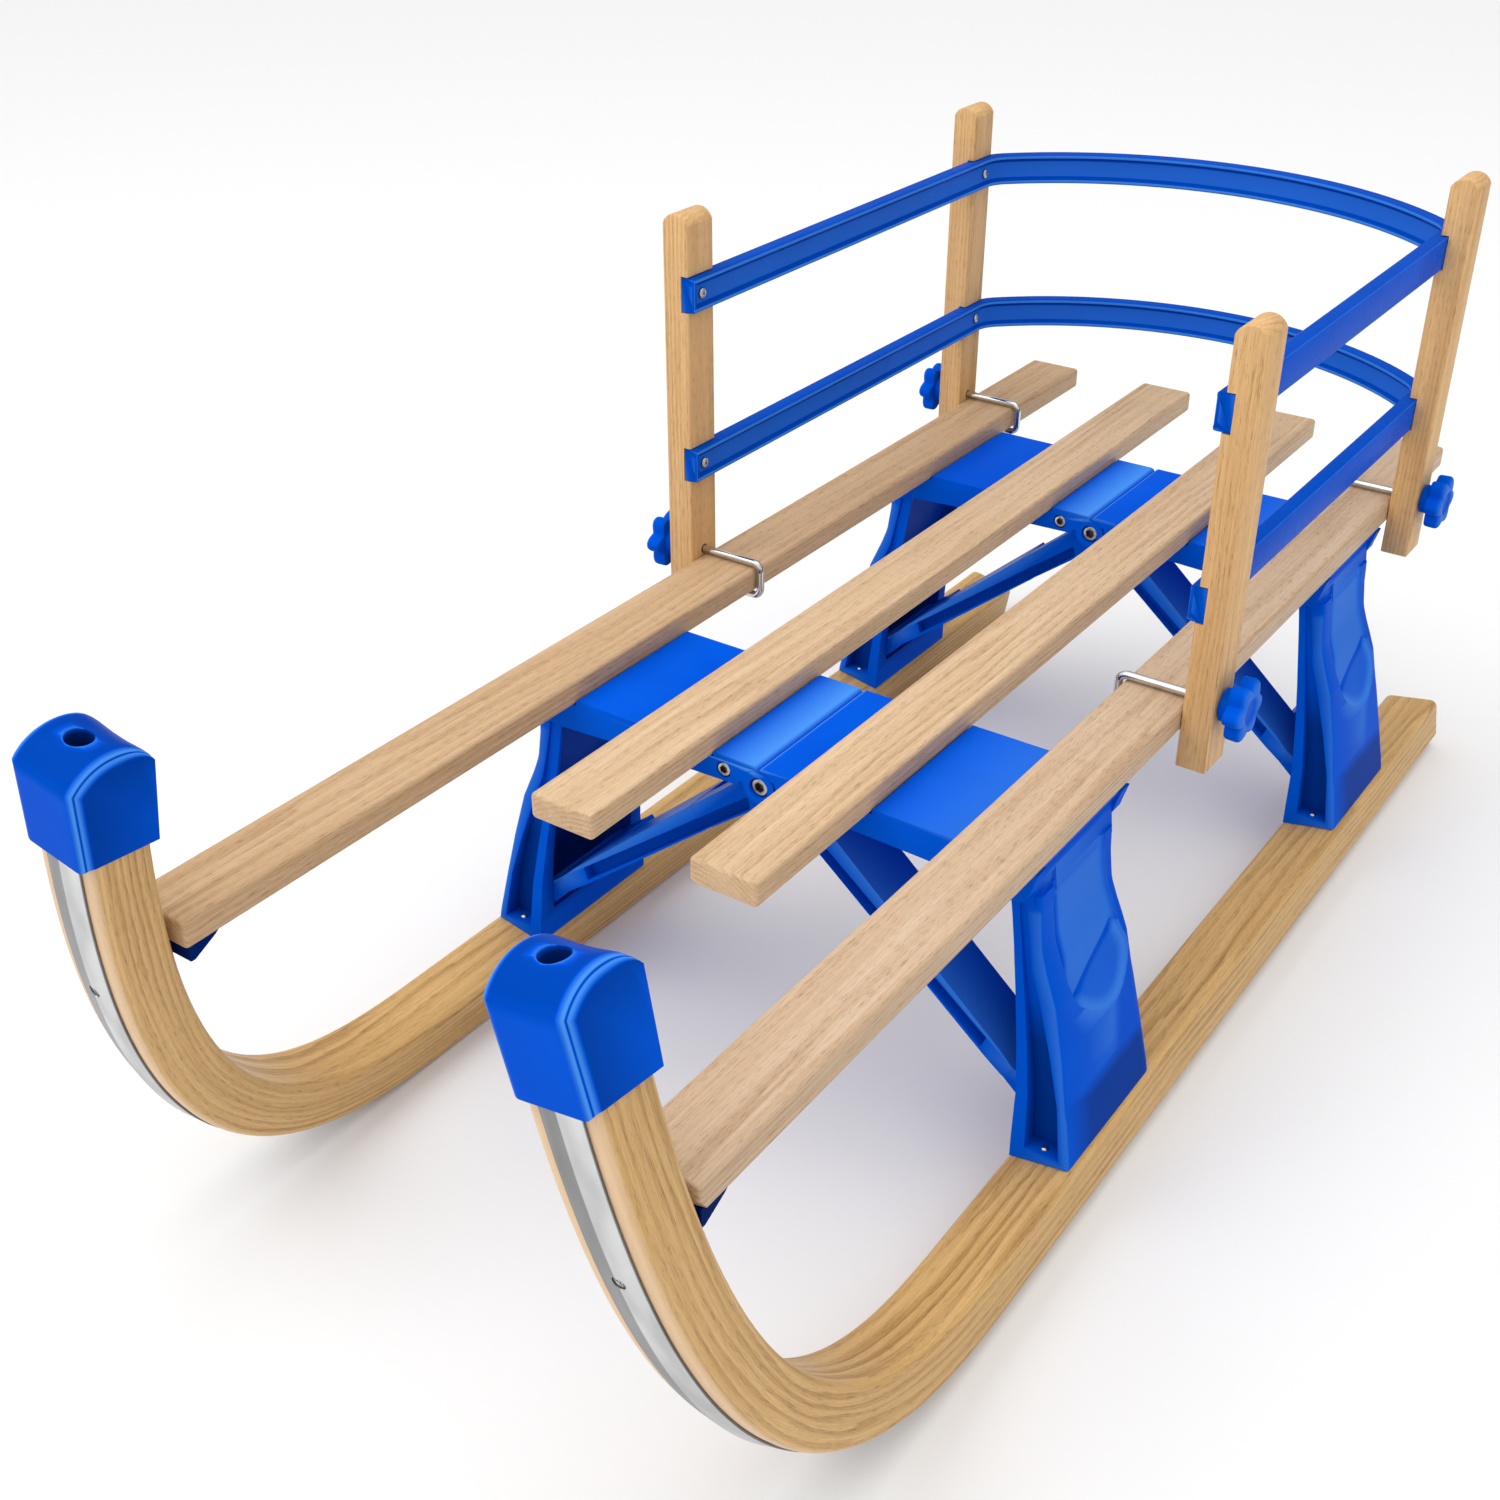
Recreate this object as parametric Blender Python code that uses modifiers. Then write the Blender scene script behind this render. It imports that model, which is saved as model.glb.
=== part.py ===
"""Folding wooden sled with a clamp-on backrest.

Metres, +Z up. X runs across the sled, Y from the noses (negative) to the rear,
Z = 0 is the ground under the steel shoes. The origin is the middle of the
footprint. All driving dimensions below are millimetres. A station is a distance
back from a plane just ahead of the noses. Heights count from a working plane
near the runners' underside; at the end everything is lifted by LIFT, so that
the shoes stand on the ground.
"""

import math

import bmesh
import bpy
from mathutils import Matrix, Vector

MM = 0.001

# ---- overall -------------------------------------------------------------
NOSE_FRONT = 6.2           # station of the front of the nose caps
LENGTH = 1012.0            # station of the rear end of the inner slats
GAP = 0.3                  # clearance between neighbouring pieces

# ---- runners -------------------------------------------------------------
CANT = math.radians(10.0)  # the runners lean in at the top
RUNNER_X = 195.8           # bottom centre of a runner, from the middle
RUNNER_Z = -1.4            # height of that line
RUNNER_W = 41.0
RUNNER_T = 33.0
RUNNER_MID = 14.0          # middle of the thickness above the bottom line
RUNNER_END = 999.0         # station of the rear end
BEND_START = 281.9         # station where the bend begins
BEND_REACH = 83.0          # handle of the curve at the flat end
NOSE_STATION = 30.4        # middle of the wood at the top of the nose
NOSE_TOP = 322.0
NOSE_LEAN = math.radians(87.6)
NOSE_REACH = 315.2
BEND_STEPS = 14
EDGE = 5.0                 # rounding of the runner's edges

# ---- steel shoes ---------------------------------------------------------
SHOE_W = 22.6
SHOE_EDGE = 1.0
SHOE_FLAT = 0.6            # half the width of the ridge's flat
# the inner facet of the crown lies level when the runner leans
SHOE_CROWN = SHOE_EDGE + (SHOE_W / 2 - SHOE_FLAT) * math.tan(CANT)
LIFT = -(
    RUNNER_Z - SHOE_FLAT * math.sin(CANT)
    + (RUNNER_MID - RUNNER_T / 2 - GAP - SHOE_CROWN) * math.cos(CANT)
)

# ---- nose caps -----------------------------------------------------------
CAP_W = 44.6
CAP_FRONT = 9.9            # station of the front face at the bottom
CAP_BACK = 50.3
CAP_BOTTOM = 302.0
CAP_SHOULDER = 348.8       # where the arched top begins, front
CAP_REAR_SHOULDER = 347.3
CAP_TOP = 359.3
CAP_APEX = 28.5            # station of the top
ROPE_HOLE = 12.5

# ---- slats ---------------------------------------------------------------
SEAT_TOP = 234.0
SLAT_T = 16.0
SLAT_W = 42.0
SLAT_BOTTOM = SEAT_TOP - SLAT_T
OUTER_X, INNER_X = 152.6, 52.4
OUTER_START, OUTER_END = 59.5, 1011.0
INNER_START = 243.5
SLAT_ROUND = 2.8
CORNER_X, CORNER_Y, CORNER_Z = 26.0, 6.4, 8.4   # corner off the outer slat's front end

# ---- folding bracket -----------------------------------------------------
BRACKETS = {"front": 350.5, "rear": 767.0}   # station of each front face
BRACKET_L = 109.5
HINGE = (0.0, 207.5)       # centre pin, x and z
LEG_PIN = (161.0, 205.5)   # leg pin, x and z
PIN_R = 3.0
PLATE_TOP = SLAT_BOTTOM - GAP
PLATE_T = 3.4
PAD_TOP = 221.0            # pads stand up between the slats
SKIRT_BOTTOM = 203.5
SKIRT_T = 4.0
LOBE_R = 10.5
HUB_R = 9.3
CHEEK_R = 9.0
CHEEK_T = 10.5

# leg: height, inner and outer x, half of the length in y
LEG = (
    (40.0, 172.1, 207.2, 54.2),
    (70.0, 171.2, 201.2, 51.5),
    (100.0, 167.7, 194.9, 48.7),
    (130.0, 163.3, 187.3, 46.0),
    (150.0, 160.1, 179.0, 44.4),
    (162.0, 158.2, 175.0, 43.4),
    (180.0, 155.6, 172.6, 43.0),
    (195.6, 153.2, 171.6, 43.0),
)
# groove down the front and rear faces of a leg: height, x from, x to
LEG_GROOVE = ((36.0, 181.0, 202.0), (70.0, 178.5, 196.5), (100.0, 174.0, 188.0),
              (130.0, 168.8, 178.0), (150.0, 165.0, 170.5), (180.0, 160.2, 164.6), (192.0, 158.6, 162.6))
LEG_ROOM = 40.6            # half of the channel's length in y
LEG_SKIN = 4.0

# ---- braces --------------------------------------------------------------
BAR = (175.0, 56.5)        # cross-bar in the leg channel, x and z
BAR_R = 7.0
BRACE_FRONT = 14.8         # set back from the bracket's front face
BRACE_W = 37.6
BRACE_LAP = 72.0           # length over which the two braces lie side by side

# ---- backrest ------------------------------------------------------------
POST_X0, POST_X1 = 173.9, 192.6
POST_W = 27.0
POSTS = {"front": 524.6, "rear": 883.4}      # station of each front face
POST_BOTTOM, POST_TOP, POST_ARCH = 196.0, 454.0, 6.5
RAIL_IN, RAIL_OUT = 167.4, 178.0
RAILS = {"upper": 411.8, "lower": 300.3}     # height of the middle
RAIL_H = 21.5
RAIL_LIP = 3.0
RAIL_DISH = 2.0
RAIL_BACK = 991.0          # station of the loop's rearmost face
RAIL_BACK_R = 240.7        # radius of the loop across the back
RAIL_BEND_R = 34.0
SCREW_R = 2.0

# ---- hooks and knobs -----------------------------------------------------
WIRE_R = 3.0
HOOK_Z = SEAT_TOP + WIRE_R + GAP
HOOK_UNDER_Z = SLAT_BOTTOM - WIRE_R - GAP
HOOK_X = OUTER_X - SLAT_W / 2 - WIRE_R - GAP
HOOK_LIP_X = 146.0
HOOK_TIP_X = 204.5
KNOB_R = 17.5
KNOB_NECK_R = 10.0
KNOB_X0, KNOB_X1, KNOB_X2 = POST_X1 + GAP, 198.5, 209.5

BEECH = ("beech", (0.74, 0.55, 0.34), 0.45, 0.0)
LAMINATE = ("laminated_beech", (0.70, 0.49, 0.27), 0.42, 0.0)
BLUE = ("blue_plastic", (0.02, 0.13, 0.75), 0.32, 0.0)
DARK_BLUE = ("dark_blue_plastic", (0.01, 0.06, 0.36), 0.4, 0.0)
RAIL_BLUE = ("blue_rail", (0.02, 0.12, 0.68), 0.28, 0.0)
STEEL = ("steel_shoe", (0.72, 0.73, 0.74), 0.25, 1.0)
CHROME = ("chromed_wire", (0.80, 0.79, 0.77), 0.12, 1.0)
ZINC = ("zinc_screw", (0.58, 0.58, 0.57), 0.32, 1.0)

for old in list(bpy.data.objects):
    bpy.data.objects.remove(old)

parts = bpy.data.collections.new("folding_sled")
cutters = bpy.data.collections.new("cutters")
bpy.context.scene.collection.children.link(parts)
bpy.context.scene.collection.children.link(cutters)


# exact quarter turns: local z to world x, and local z to world -y
TO_X = Matrix(((0, 0, 1, 0), (1, 0, 0, 0), (0, 1, 0, 0), (0, 0, 0, 1)))
TO_Y = Matrix(((1, 0, 0, 0), (0, 0, -1, 0), (0, 1, 0, 0), (0, 0, 0, 1)))


# ---- helpers -------------------------------------------------------------
def Y(station):
    """World y in millimetres of a station along the sled."""
    return station - (NOSE_FRONT + LENGTH) / 2


def material(spec):
    name, colour, roughness, metallic = spec
    found = bpy.data.materials.get(name)
    if found:
        return found
    made = bpy.data.materials.new(name)
    made.use_nodes = True
    shader = made.node_tree.nodes["Principled BSDF"]
    shader.inputs["Base Color"].default_value = (*colour, 1.0)
    shader.inputs["Roughness"].default_value = roughness
    shader.inputs["Metallic"].default_value = metallic
    return made


def add(name, mesh, spec=None, smooth=False):
    """A finished piece, or a cutter when it has no material. Points sit on a
    0.1 micron grid, so that faces meant to be flush are exactly flush."""
    for vertex in mesh.vertices:
        vertex.co = [round(value, 7) for value in vertex.co]
    obj = bpy.data.objects.new(name, mesh)
    mesh.name = name
    if spec is None:
        cutters.objects.link(obj)
        obj.hide_render = True
        obj.display_type = "WIRE"
    else:
        parts.objects.link(obj)
        mesh.materials.clear()
        mesh.materials.append(material(spec))
    if smooth:
        mesh.shade_smooth()
        mesh.set_sharp_from_angle(angle=math.radians(35))
    return obj


def block(name, x, y, z, spec=None, rounding=0.0, segments=1):
    """A box between two corners, with its long edges rounded if asked."""
    lo = [min(pair) * MM for pair in (x, y, z)]
    hi = [max(pair) * MM for pair in (x, y, z)]
    bm = bmesh.new()
    bmesh.ops.create_cube(bm, size=1.0)
    for v in bm.verts:
        v.co = Vector(lo[i] + (v.co[i] + 0.5) * (hi[i] - lo[i]) for i in range(3))
    mesh = bpy.data.meshes.new(name)
    bm.to_mesh(mesh)
    bm.free()
    obj = add(name, mesh, spec)
    if rounding:
        bevel = obj.modifiers.new("edges", "BEVEL")
        bevel.width = rounding * MM
        bevel.segments = segments
    return obj


def rod(name, start, end, radius, spec=None, sides=16):
    """A round bar between two points."""
    a, b = Vector(start) * MM, Vector(end) * MM
    bm = bmesh.new()
    bmesh.ops.create_cone(
        bm, cap_ends=True, segments=sides,
        radius1=radius * MM, radius2=radius * MM, depth=(b - a).length,
    )
    run = (b - a).normalized()
    if abs(run.x) > 0.9999:
        turn = TO_X
    elif abs(run.y) > 0.9999:
        turn = TO_Y
    else:
        turn = Vector((0, 0, 1)).rotation_difference(run).to_matrix().to_4x4()
    bmesh.ops.transform(bm, matrix=Matrix.Translation((a + b) / 2) @ turn, verts=bm.verts)
    mesh = bpy.data.meshes.new(name)
    bm.to_mesh(mesh)
    bm.free()
    return add(name, mesh, spec, smooth=True)


def as_mesh(curve_object):
    """The curve's solid as a welded mesh in world space; the curve goes."""
    bpy.context.view_layer.update()
    graph = bpy.context.evaluated_depsgraph_get()
    mesh = bpy.data.meshes.new_from_object(curve_object.evaluated_get(graph))
    bm = bmesh.new()
    bm.from_mesh(mesh)
    bmesh.ops.remove_doubles(bm, verts=bm.verts, dist=1e-6)
    bmesh.ops.recalc_face_normals(bm, faces=bm.faces)
    bm.to_mesh(mesh)
    bm.free()
    mesh.transform(curve_object.matrix_world)
    data = curve_object.data
    bpy.data.objects.remove(curve_object)
    bpy.data.curves.remove(data)
    return mesh


def outline(name, points):
    """A closed flat POLY curve, filled on both sides."""
    data = bpy.data.curves.new(name, "CURVE")
    data.dimensions = "2D"
    data.fill_mode = "BOTH"
    spline = data.splines.new("POLY")
    spline.points.add(len(points) - 1)
    for point, (a, b) in zip(spline.points, points):
        point.co = (a * MM, b * MM, 0.0, 1.0)
    spline.use_cyclic_u = True
    return data


def slab(name, points, across, span, spec=None, smooth=False):
    """A flat outline given a thickness. across "y": points are (x, z) and the
    slab runs from span[0] to span[1] in y. across "x": points are (y, z)."""
    data = outline(name, points)
    data.extrude = abs(span[1] - span[0]) / 2 * MM
    obj = bpy.data.objects.new(name, data)
    middle = sum(span) / 2 * MM
    if across == "y":
        obj.matrix_world = Matrix.Translation((0, middle, 0)) @ TO_Y
    else:
        obj.matrix_world = Matrix.Translation((middle, 0, 0)) @ TO_X
    bpy.context.scene.collection.objects.link(obj)
    return add(name, as_mesh(obj), spec, smooth)


def loft(name, rings, spec=None, smooth=False):
    """A solid through closed rings with the same number of points."""
    bm = bmesh.new()
    rows = [[bm.verts.new(Vector(p) * MM) for p in ring] for ring in rings]
    for low, high in zip(rows, rows[1:]):
        for i in range(len(low)):
            j = (i + 1) % len(low)
            bm.faces.new((low[i], low[j], high[j], high[i]))
    bm.faces.new(list(reversed(rows[0])))
    bm.faces.new(rows[-1])
    bmesh.ops.recalc_face_normals(bm, faces=bm.faces)
    mesh = bpy.data.meshes.new(name)
    bm.to_mesh(mesh)
    bm.free()
    return add(name, mesh, spec, smooth)


def swept(name, path, section, spec=None, twist="Z_UP", scales=None, smooth=True):
    """A closed section carried along a path of points."""
    profile = bpy.data.objects.new(name + "_section", outline(name + "_section", section))
    profile.data.fill_mode = "NONE"
    bpy.context.scene.collection.objects.link(profile)
    data = bpy.data.curves.new(name, "CURVE")
    data.dimensions = "3D"
    data.twist_mode = twist
    data.bevel_mode = "OBJECT"
    data.bevel_object = profile
    data.use_fill_caps = True
    spline = data.splines.new("POLY")
    spline.points.add(len(path) - 1)
    for i, (point, co) in enumerate(zip(spline.points, path)):
        point.co = (*(Vector(co) * MM), 1.0)
        point.radius = scales[i] if scales else 1.0
    obj = bpy.data.objects.new(name, data)
    bpy.context.scene.collection.objects.link(obj)
    mesh = as_mesh(obj)
    profile_data = profile.data
    bpy.data.objects.remove(profile)
    bpy.data.curves.remove(profile_data)
    return add(name, mesh, spec, smooth)


def wire(name, path, radius, spec):
    data = bpy.data.curves.new(name, "CURVE")
    data.dimensions = "3D"
    data.bevel_depth = radius * MM
    data.bevel_resolution = 2
    data.use_fill_caps = True
    spline = data.splines.new("POLY")
    spline.points.add(len(path) - 1)
    for point, co in zip(spline.points, path):
        point.co = (*(Vector(co) * MM), 1.0)
    obj = bpy.data.objects.new(name, data)
    bpy.context.scene.collection.objects.link(obj)
    return add(name, as_mesh(obj), spec, smooth=True)


def boolean(obj, other, how):
    step = obj.modifiers.new(other.name, "BOOLEAN")
    step.operation = how
    step.solver = "EXACT"
    step.object = other


def cut(obj, *others):
    for other in others:
        boolean(obj, other, "DIFFERENCE")


def join(obj, *others):
    for other in others:
        boolean(obj, other, "UNION")


def arc(centre, radius, start, end, steps):
    """Points of an arc in degrees, both ends included."""
    out = []
    for i in range(steps + 1):
        a = math.radians(start + (end - start) * i / steps)
        out.append((centre[0] + radius * math.cos(a), centre[1] + radius * math.sin(a)))
    return out


def put_canted(obj, side):
    """From the runner's own frame (u outward on the right, y, v up) to the sled."""
    obj.matrix_world = Matrix.Translation((side * RUNNER_X * MM, 0, RUNNER_Z * MM)) @ Matrix.Rotation(
        -side * CANT, 4, "Y"
    )


# ---- runner path ---------------------------------------------------------
def bend(t, offset=0.0):
    """Point (y, v) on the bend, t 0..1 from the flat to the nose, with an
    offset square to it (positive towards the seat)."""
    p0 = Vector((Y(BEND_START), RUNNER_MID))
    p3 = Vector((Y(NOSE_STATION), NOSE_TOP))
    p1 = p0 + Vector((-BEND_REACH, 0))
    lean = Vector((-math.cos(NOSE_LEAN), math.sin(NOSE_LEAN)))
    p2 = p3 - lean * NOSE_REACH
    s = 1 - t
    point = p0 * s**3 + p1 * (3 * s * s * t) + p2 * (3 * s * t * t) + p3 * t**3
    slope = (p1 - p0) * (3 * s * s) + (p2 - p1) * (6 * s * t) + (p3 - p2) * (3 * t * t)
    slope.normalize()
    return point + Vector((slope.y, -slope.x)) * offset


def runner_path(offset, rear=RUNNER_END, top=None):
    """The whole runner from the rear end to the nose, or to a height on it, as
    (0, y, v) points. All pieces on the runner share its steps."""
    path = [(0.0, Y(rear), RUNNER_MID + offset), (0.0, Y(620.0), RUNNER_MID + offset)]
    for i in range(BEND_STEPS + 1):
        y, v = bend(i / BEND_STEPS, offset)
        if top is not None and v > top:
            _, y_last, v_last = path[-1]
            f = (top - v_last) / (v - v_last)
            path.append((0.0, y_last + (y - y_last) * f, top))
            break
        path.append((0.0, y, v))
    return path


def bend_at_height(v, offset=0.0):
    """The bend parameter where the offset line reaches a height."""
    lo, hi = 0.0, 1.0
    for _ in range(50):
        mid = (lo + hi) / 2
        if bend(mid, offset)[1] < v:
            lo = mid
        else:
            hi = mid
    return lo


def chamfered(width, height, corner):
    w, h, c = width / 2, height / 2, corner
    return [(-w, -h + c), (-w + c, -h), (w - c, -h), (w, -h + c),
            (w, h - c), (w - c, h), (-w + c, h), (-w, h - c)]


SIDES = {"left": -1, "right": 1}

for hand, side in SIDES.items():
    path = runner_path(0.0)
    path.insert(1, (0.0, Y(RUNNER_END - 5), RUNNER_MID))
    runner = swept(
        f"runner_{hand}", path, chamfered(RUNNER_W, RUNNER_T, EDGE * 0.7), LAMINATE,
        scales=[0.86] + [1.0] * (len(path) - 1),
    )
    put_canted(runner, side)

    # the shoe lies on the front and underside, crowned along the middle
    lift = RUNNER_T / 2 + GAP
    h = SHOE_W / 2
    shoe = swept(
        f"steel_shoe_{hand}",
        [(0.0, y, v) for _, y, v in runner_path(-lift, RUNNER_END - 9, CAP_BOTTOM - 1.0)],
        [(-h, 0.0), (-h, -SHOE_EDGE), (-SHOE_FLAT, -SHOE_CROWN), (SHOE_FLAT, -SHOE_CROWN), (h, -SHOE_EDGE), (h, 0.0)],
        STEEL, smooth=False,
    )
    put_canted(shoe, side)

    # countersunk screws through the shoe into the wood, near the nose and the rear
    for place, t, length in (("front", bend_at_height(209.0, -lift), 16.0), ("rear", None, 16.0)):
        if t is None:
            y, v = Y(RUNNER_END - 60), RUNNER_MID - lift
            n = Vector((0, 0, 1))
        else:
            y, v = bend(t, -lift)
            y2, v2 = bend(t, 0.0)
            n = Vector((0, y2 - y, v2 - v)).normalized()
        mouth = Vector((0, y, v)) - n * (SHOE_CROWN + 1)
        head_top = Vector((0, y, v)) - n * (SHOE_CROWN - 0.9)
        neck = Vector((0, y, v)) + n * 1.4
        tip = Vector((0, y, v)) + n * length
        well = rod(f"cut_shoe_{hand}_{place}", mouth, neck + n * GAP, 3.3, sides=10)
        bore = rod(f"cut_shoe_bore_{hand}_{place}", mouth, tip + n * GAP, 1.8, sides=8)
        for tool in (well, bore):
            put_canted(tool, side)
            cut(shoe, tool)
            cut(runner, tool)
        screw = rod(f"shoe_screw_{place}_{hand}", head_top, neck, 3.0, ZINC, sides=10)
        shank = rod(f"add_shoe_screw_{hand}_{place}", head_top + n * 0.5, tip, 1.5, sides=8)
        put_canted(screw, side)
        put_canted(shank, side)
        join(screw, shank)

    # nose cap: a block with an arched top over the end of the wood
    chord = CAP_BACK - NOSE_FRONT
    sag = CAP_TOP - (CAP_SHOULDER + CAP_REAR_SHOULDER) / 2
    round_r = (chord**2 / 4 + sag**2) / (2 * sag)
    centre = ((Y(NOSE_FRONT) + Y(CAP_BACK)) / 2, CAP_TOP - round_r)
    first = math.degrees(math.atan2(CAP_SHOULDER - centre[1], Y(NOSE_FRONT) - centre[0]))
    last = math.degrees(math.atan2(CAP_REAR_SHOULDER - centre[1], Y(CAP_BACK) - centre[0]))
    crown = [(Y(CAP_FRONT), CAP_BOTTOM), (Y(NOSE_FRONT), CAP_SHOULDER)]
    crown += arc(centre, round_r, first, last, 8)[1:-1]
    crown += [(Y(CAP_BACK - 0.6), CAP_REAR_SHOULDER), (Y(CAP_BACK), CAP_BOTTOM)]
    cap = slab(f"nose_cap_{hand}", crown, "x", (-CAP_W / 2, CAP_W / 2), BLUE)
    inside = RUNNER_T / 2 + 2 * GAP
    low = (BEND_STEPS - 1) / BEND_STEPS
    socket = [bend(low, -inside), bend(1.0, -inside) + Vector((0, 3 * GAP))]
    far = [bend(low, inside), bend(1.0, inside) + Vector((0, 3 * GAP))]
    hollow = slab(
        f"cut_cap_{hand}", [tuple(p) for p in socket] + [tuple(p) for p in reversed(far)], "x",
        (-RUNNER_W / 2 - GAP, RUNNER_W / 2 + GAP),
    )
    # the rope goes in at the top and leaves through the back
    down = rod(
        f"cut_rope_{hand}", (0, Y(CAP_APEX), CAP_TOP + 5.0), (0, Y(CAP_APEX), CAP_TOP - 19.0), ROPE_HOLE / 2
    )
    out = rod(
        f"cut_rope_exit_{hand}", (0, Y(CAP_APEX), CAP_TOP - 20.5), (0, Y(CAP_BACK + 5.0), CAP_TOP - 24.0),
        ROPE_HOLE / 2 - 1.0,
    )
    for piece in (cap, hollow, down, out):
        put_canted(piece, side)
    cut(cap, hollow, down, out)

# ---- slats and their end blocks ------------------------------------------
for hand, side in SIDES.items():
    for place, x, start, end in (
        ("outer", OUTER_X, OUTER_START, OUTER_END),
        ("inner", INNER_X, INNER_START, LENGTH),
    ):
        slat = block(
            f"slat_{place}_{hand}",
            (side * (x - SLAT_W / 2), side * (x + SLAT_W / 2)), (Y(start), Y(end)),
            (SLAT_BOTTOM, SEAT_TOP), BEECH, SLAT_ROUND, 2,
        )
        if place == "outer":
            # the lower outer corner at the nose is taken off, so that the slat
            # clears the bend of the runner when the sled folds
            cut(slat, loft(f"cut_slat_corner_{hand}", [
                [(side * (x + SLAT_W / 2 + across), Y(start) + a, SLAT_BOTTOM + b) for a, b in (
                    (-8.0, -8.0), (CORNER_Y * (c + 8.0 / CORNER_Z), -8.0), (-8.0, CORNER_Z * (c + 8.0 / CORNER_Y)))]
                for across, c in ((-CORNER_X - 1.0, -1.0 / CORNER_X), (3.0, 1.0 + 3.0 / CORNER_X))
            ]))
    z = SLAT_BOTTOM - GAP
    y = Y(OUTER_START + 4.0)
    slab(
        f"slat_end_block_{hand}",
        [(y, z), (y + 22.0, z), (y + 17.0, z - 4.0), (y + 3.0, z - 11.0), (y, z - 11.0)], "x",
        (side * 136.0, side * 171.0), DARK_BLUE,
    )

# ---- folding brackets ----------------------------------------------------
def leg(name, station, side):
    """Channel leg: outer skin, front and rear walls, open to the middle."""
    y0, y1 = Y(station), Y(station + BRACKET_L)
    ym = (y0 + y1) / 2
    ax, az = LEG_PIN

    # where the foot meets the canted top of the runner
    foot = RUNNER_MID + RUNNER_T / 2 + GAP

    def sole(u):
        return (
            RUNNER_X + u * math.cos(CANT) - foot * math.sin(CANT),
            RUNNER_Z + u * math.sin(CANT) + foot * math.cos(CANT),
        )

    def between(z):
        """Inner x, outer x and half length of the leg at a height."""
        for (za, *low), (zb, *high) in zip(LEG, LEG[1:]):
            if z <= zb:
                f = (z - za) / (zb - za)
                return [p + (q - p) * f for p, q in zip(low, high)]
        return list(LEG[-1][1:])

    (xi, zi), (xo, zo) = sole(-18.3), sole(18.3)
    half = BRACKET_L / 2
    rings = [[(side * xi, ym - half, zi), (side * xo, ym - half, zo), (side * xo, ym + half, zo), (side * xi, ym + half, zi)]]
    for z, a, b, h in LEG:
        rings.append([(side * a, ym - h, z), (side * b, ym - h, z), (side * b, ym + h, z), (side * a, ym + h, z)])
    body = loft(name, rings, BLUE)
    neck_h = BRACKET_L / 2 - CHEEK_T - GAP
    neck = slab(
        f"add_neck_{name}",
        [(side * x, z) for x, z in (
            (153.6, 190.0), (ax - 7.6, az), (ax - 5.0, az + 5.0), (ax + 5.0, az + 5.0), (ax + 7.9, az), (171.2, 190.0))],
        "y", (ym - neck_h, ym + neck_h),
    )
    knuckle = rod(f"add_knuckle_{name}", (side * ax, ym - neck_h, az), (side * ax, ym + neck_h, az), 8.0, sides=14)
    join(body, neck, knuckle)
    # the channel, open to the middle, with a sill at the bottom
    rows = []
    for z in (46.0, 70.0, 100.0, 130.0, 150.0, 170.0, 187.0):
        far = between(z)[1] - LEG_SKIN
        rows.append([(side * x, y, z) for x, y in (
            (130.0, ym - LEG_ROOM), (far, ym - LEG_ROOM), (far, ym + LEG_ROOM), (130.0, ym + LEG_ROOM))])
    cut(body, loft(f"cut_room_{name}", rows))
    # grooves down the front and rear faces
    for end in (-1, 1):
        rows = []
        for z, a, b in LEG_GROOVE:
            h = between(max(z, 40.0))[2]
            deep = max(h - 6.5, LEG_ROOM + 1.2)
            rows.append([(side * x, ym + end * d, z) for x, d in ((a, deep), (b, deep), (b, h + 4.0), (a, h + 4.0))])
        cut(body, loft(f"cut_groove_{end + 1}_{name}", rows))
    # the brace passes the top of the leg when the sled is folded
    relief = block(
        f"cut_relief_{name}", (side * 140.0, side * 166.5), (y0 + BRACE_FRONT - 1.0, y0 + BRACE_FRONT + BRACE_W + 1.0), (186.0, 216.0)
    )
    bore = rod(f"cut_bore_{name}", (side * ax, y0 - 5, az), (side * ax, y1 + 5, az), PIN_R + GAP, sides=12)
    cut(body, relief, bore)
    return body


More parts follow.
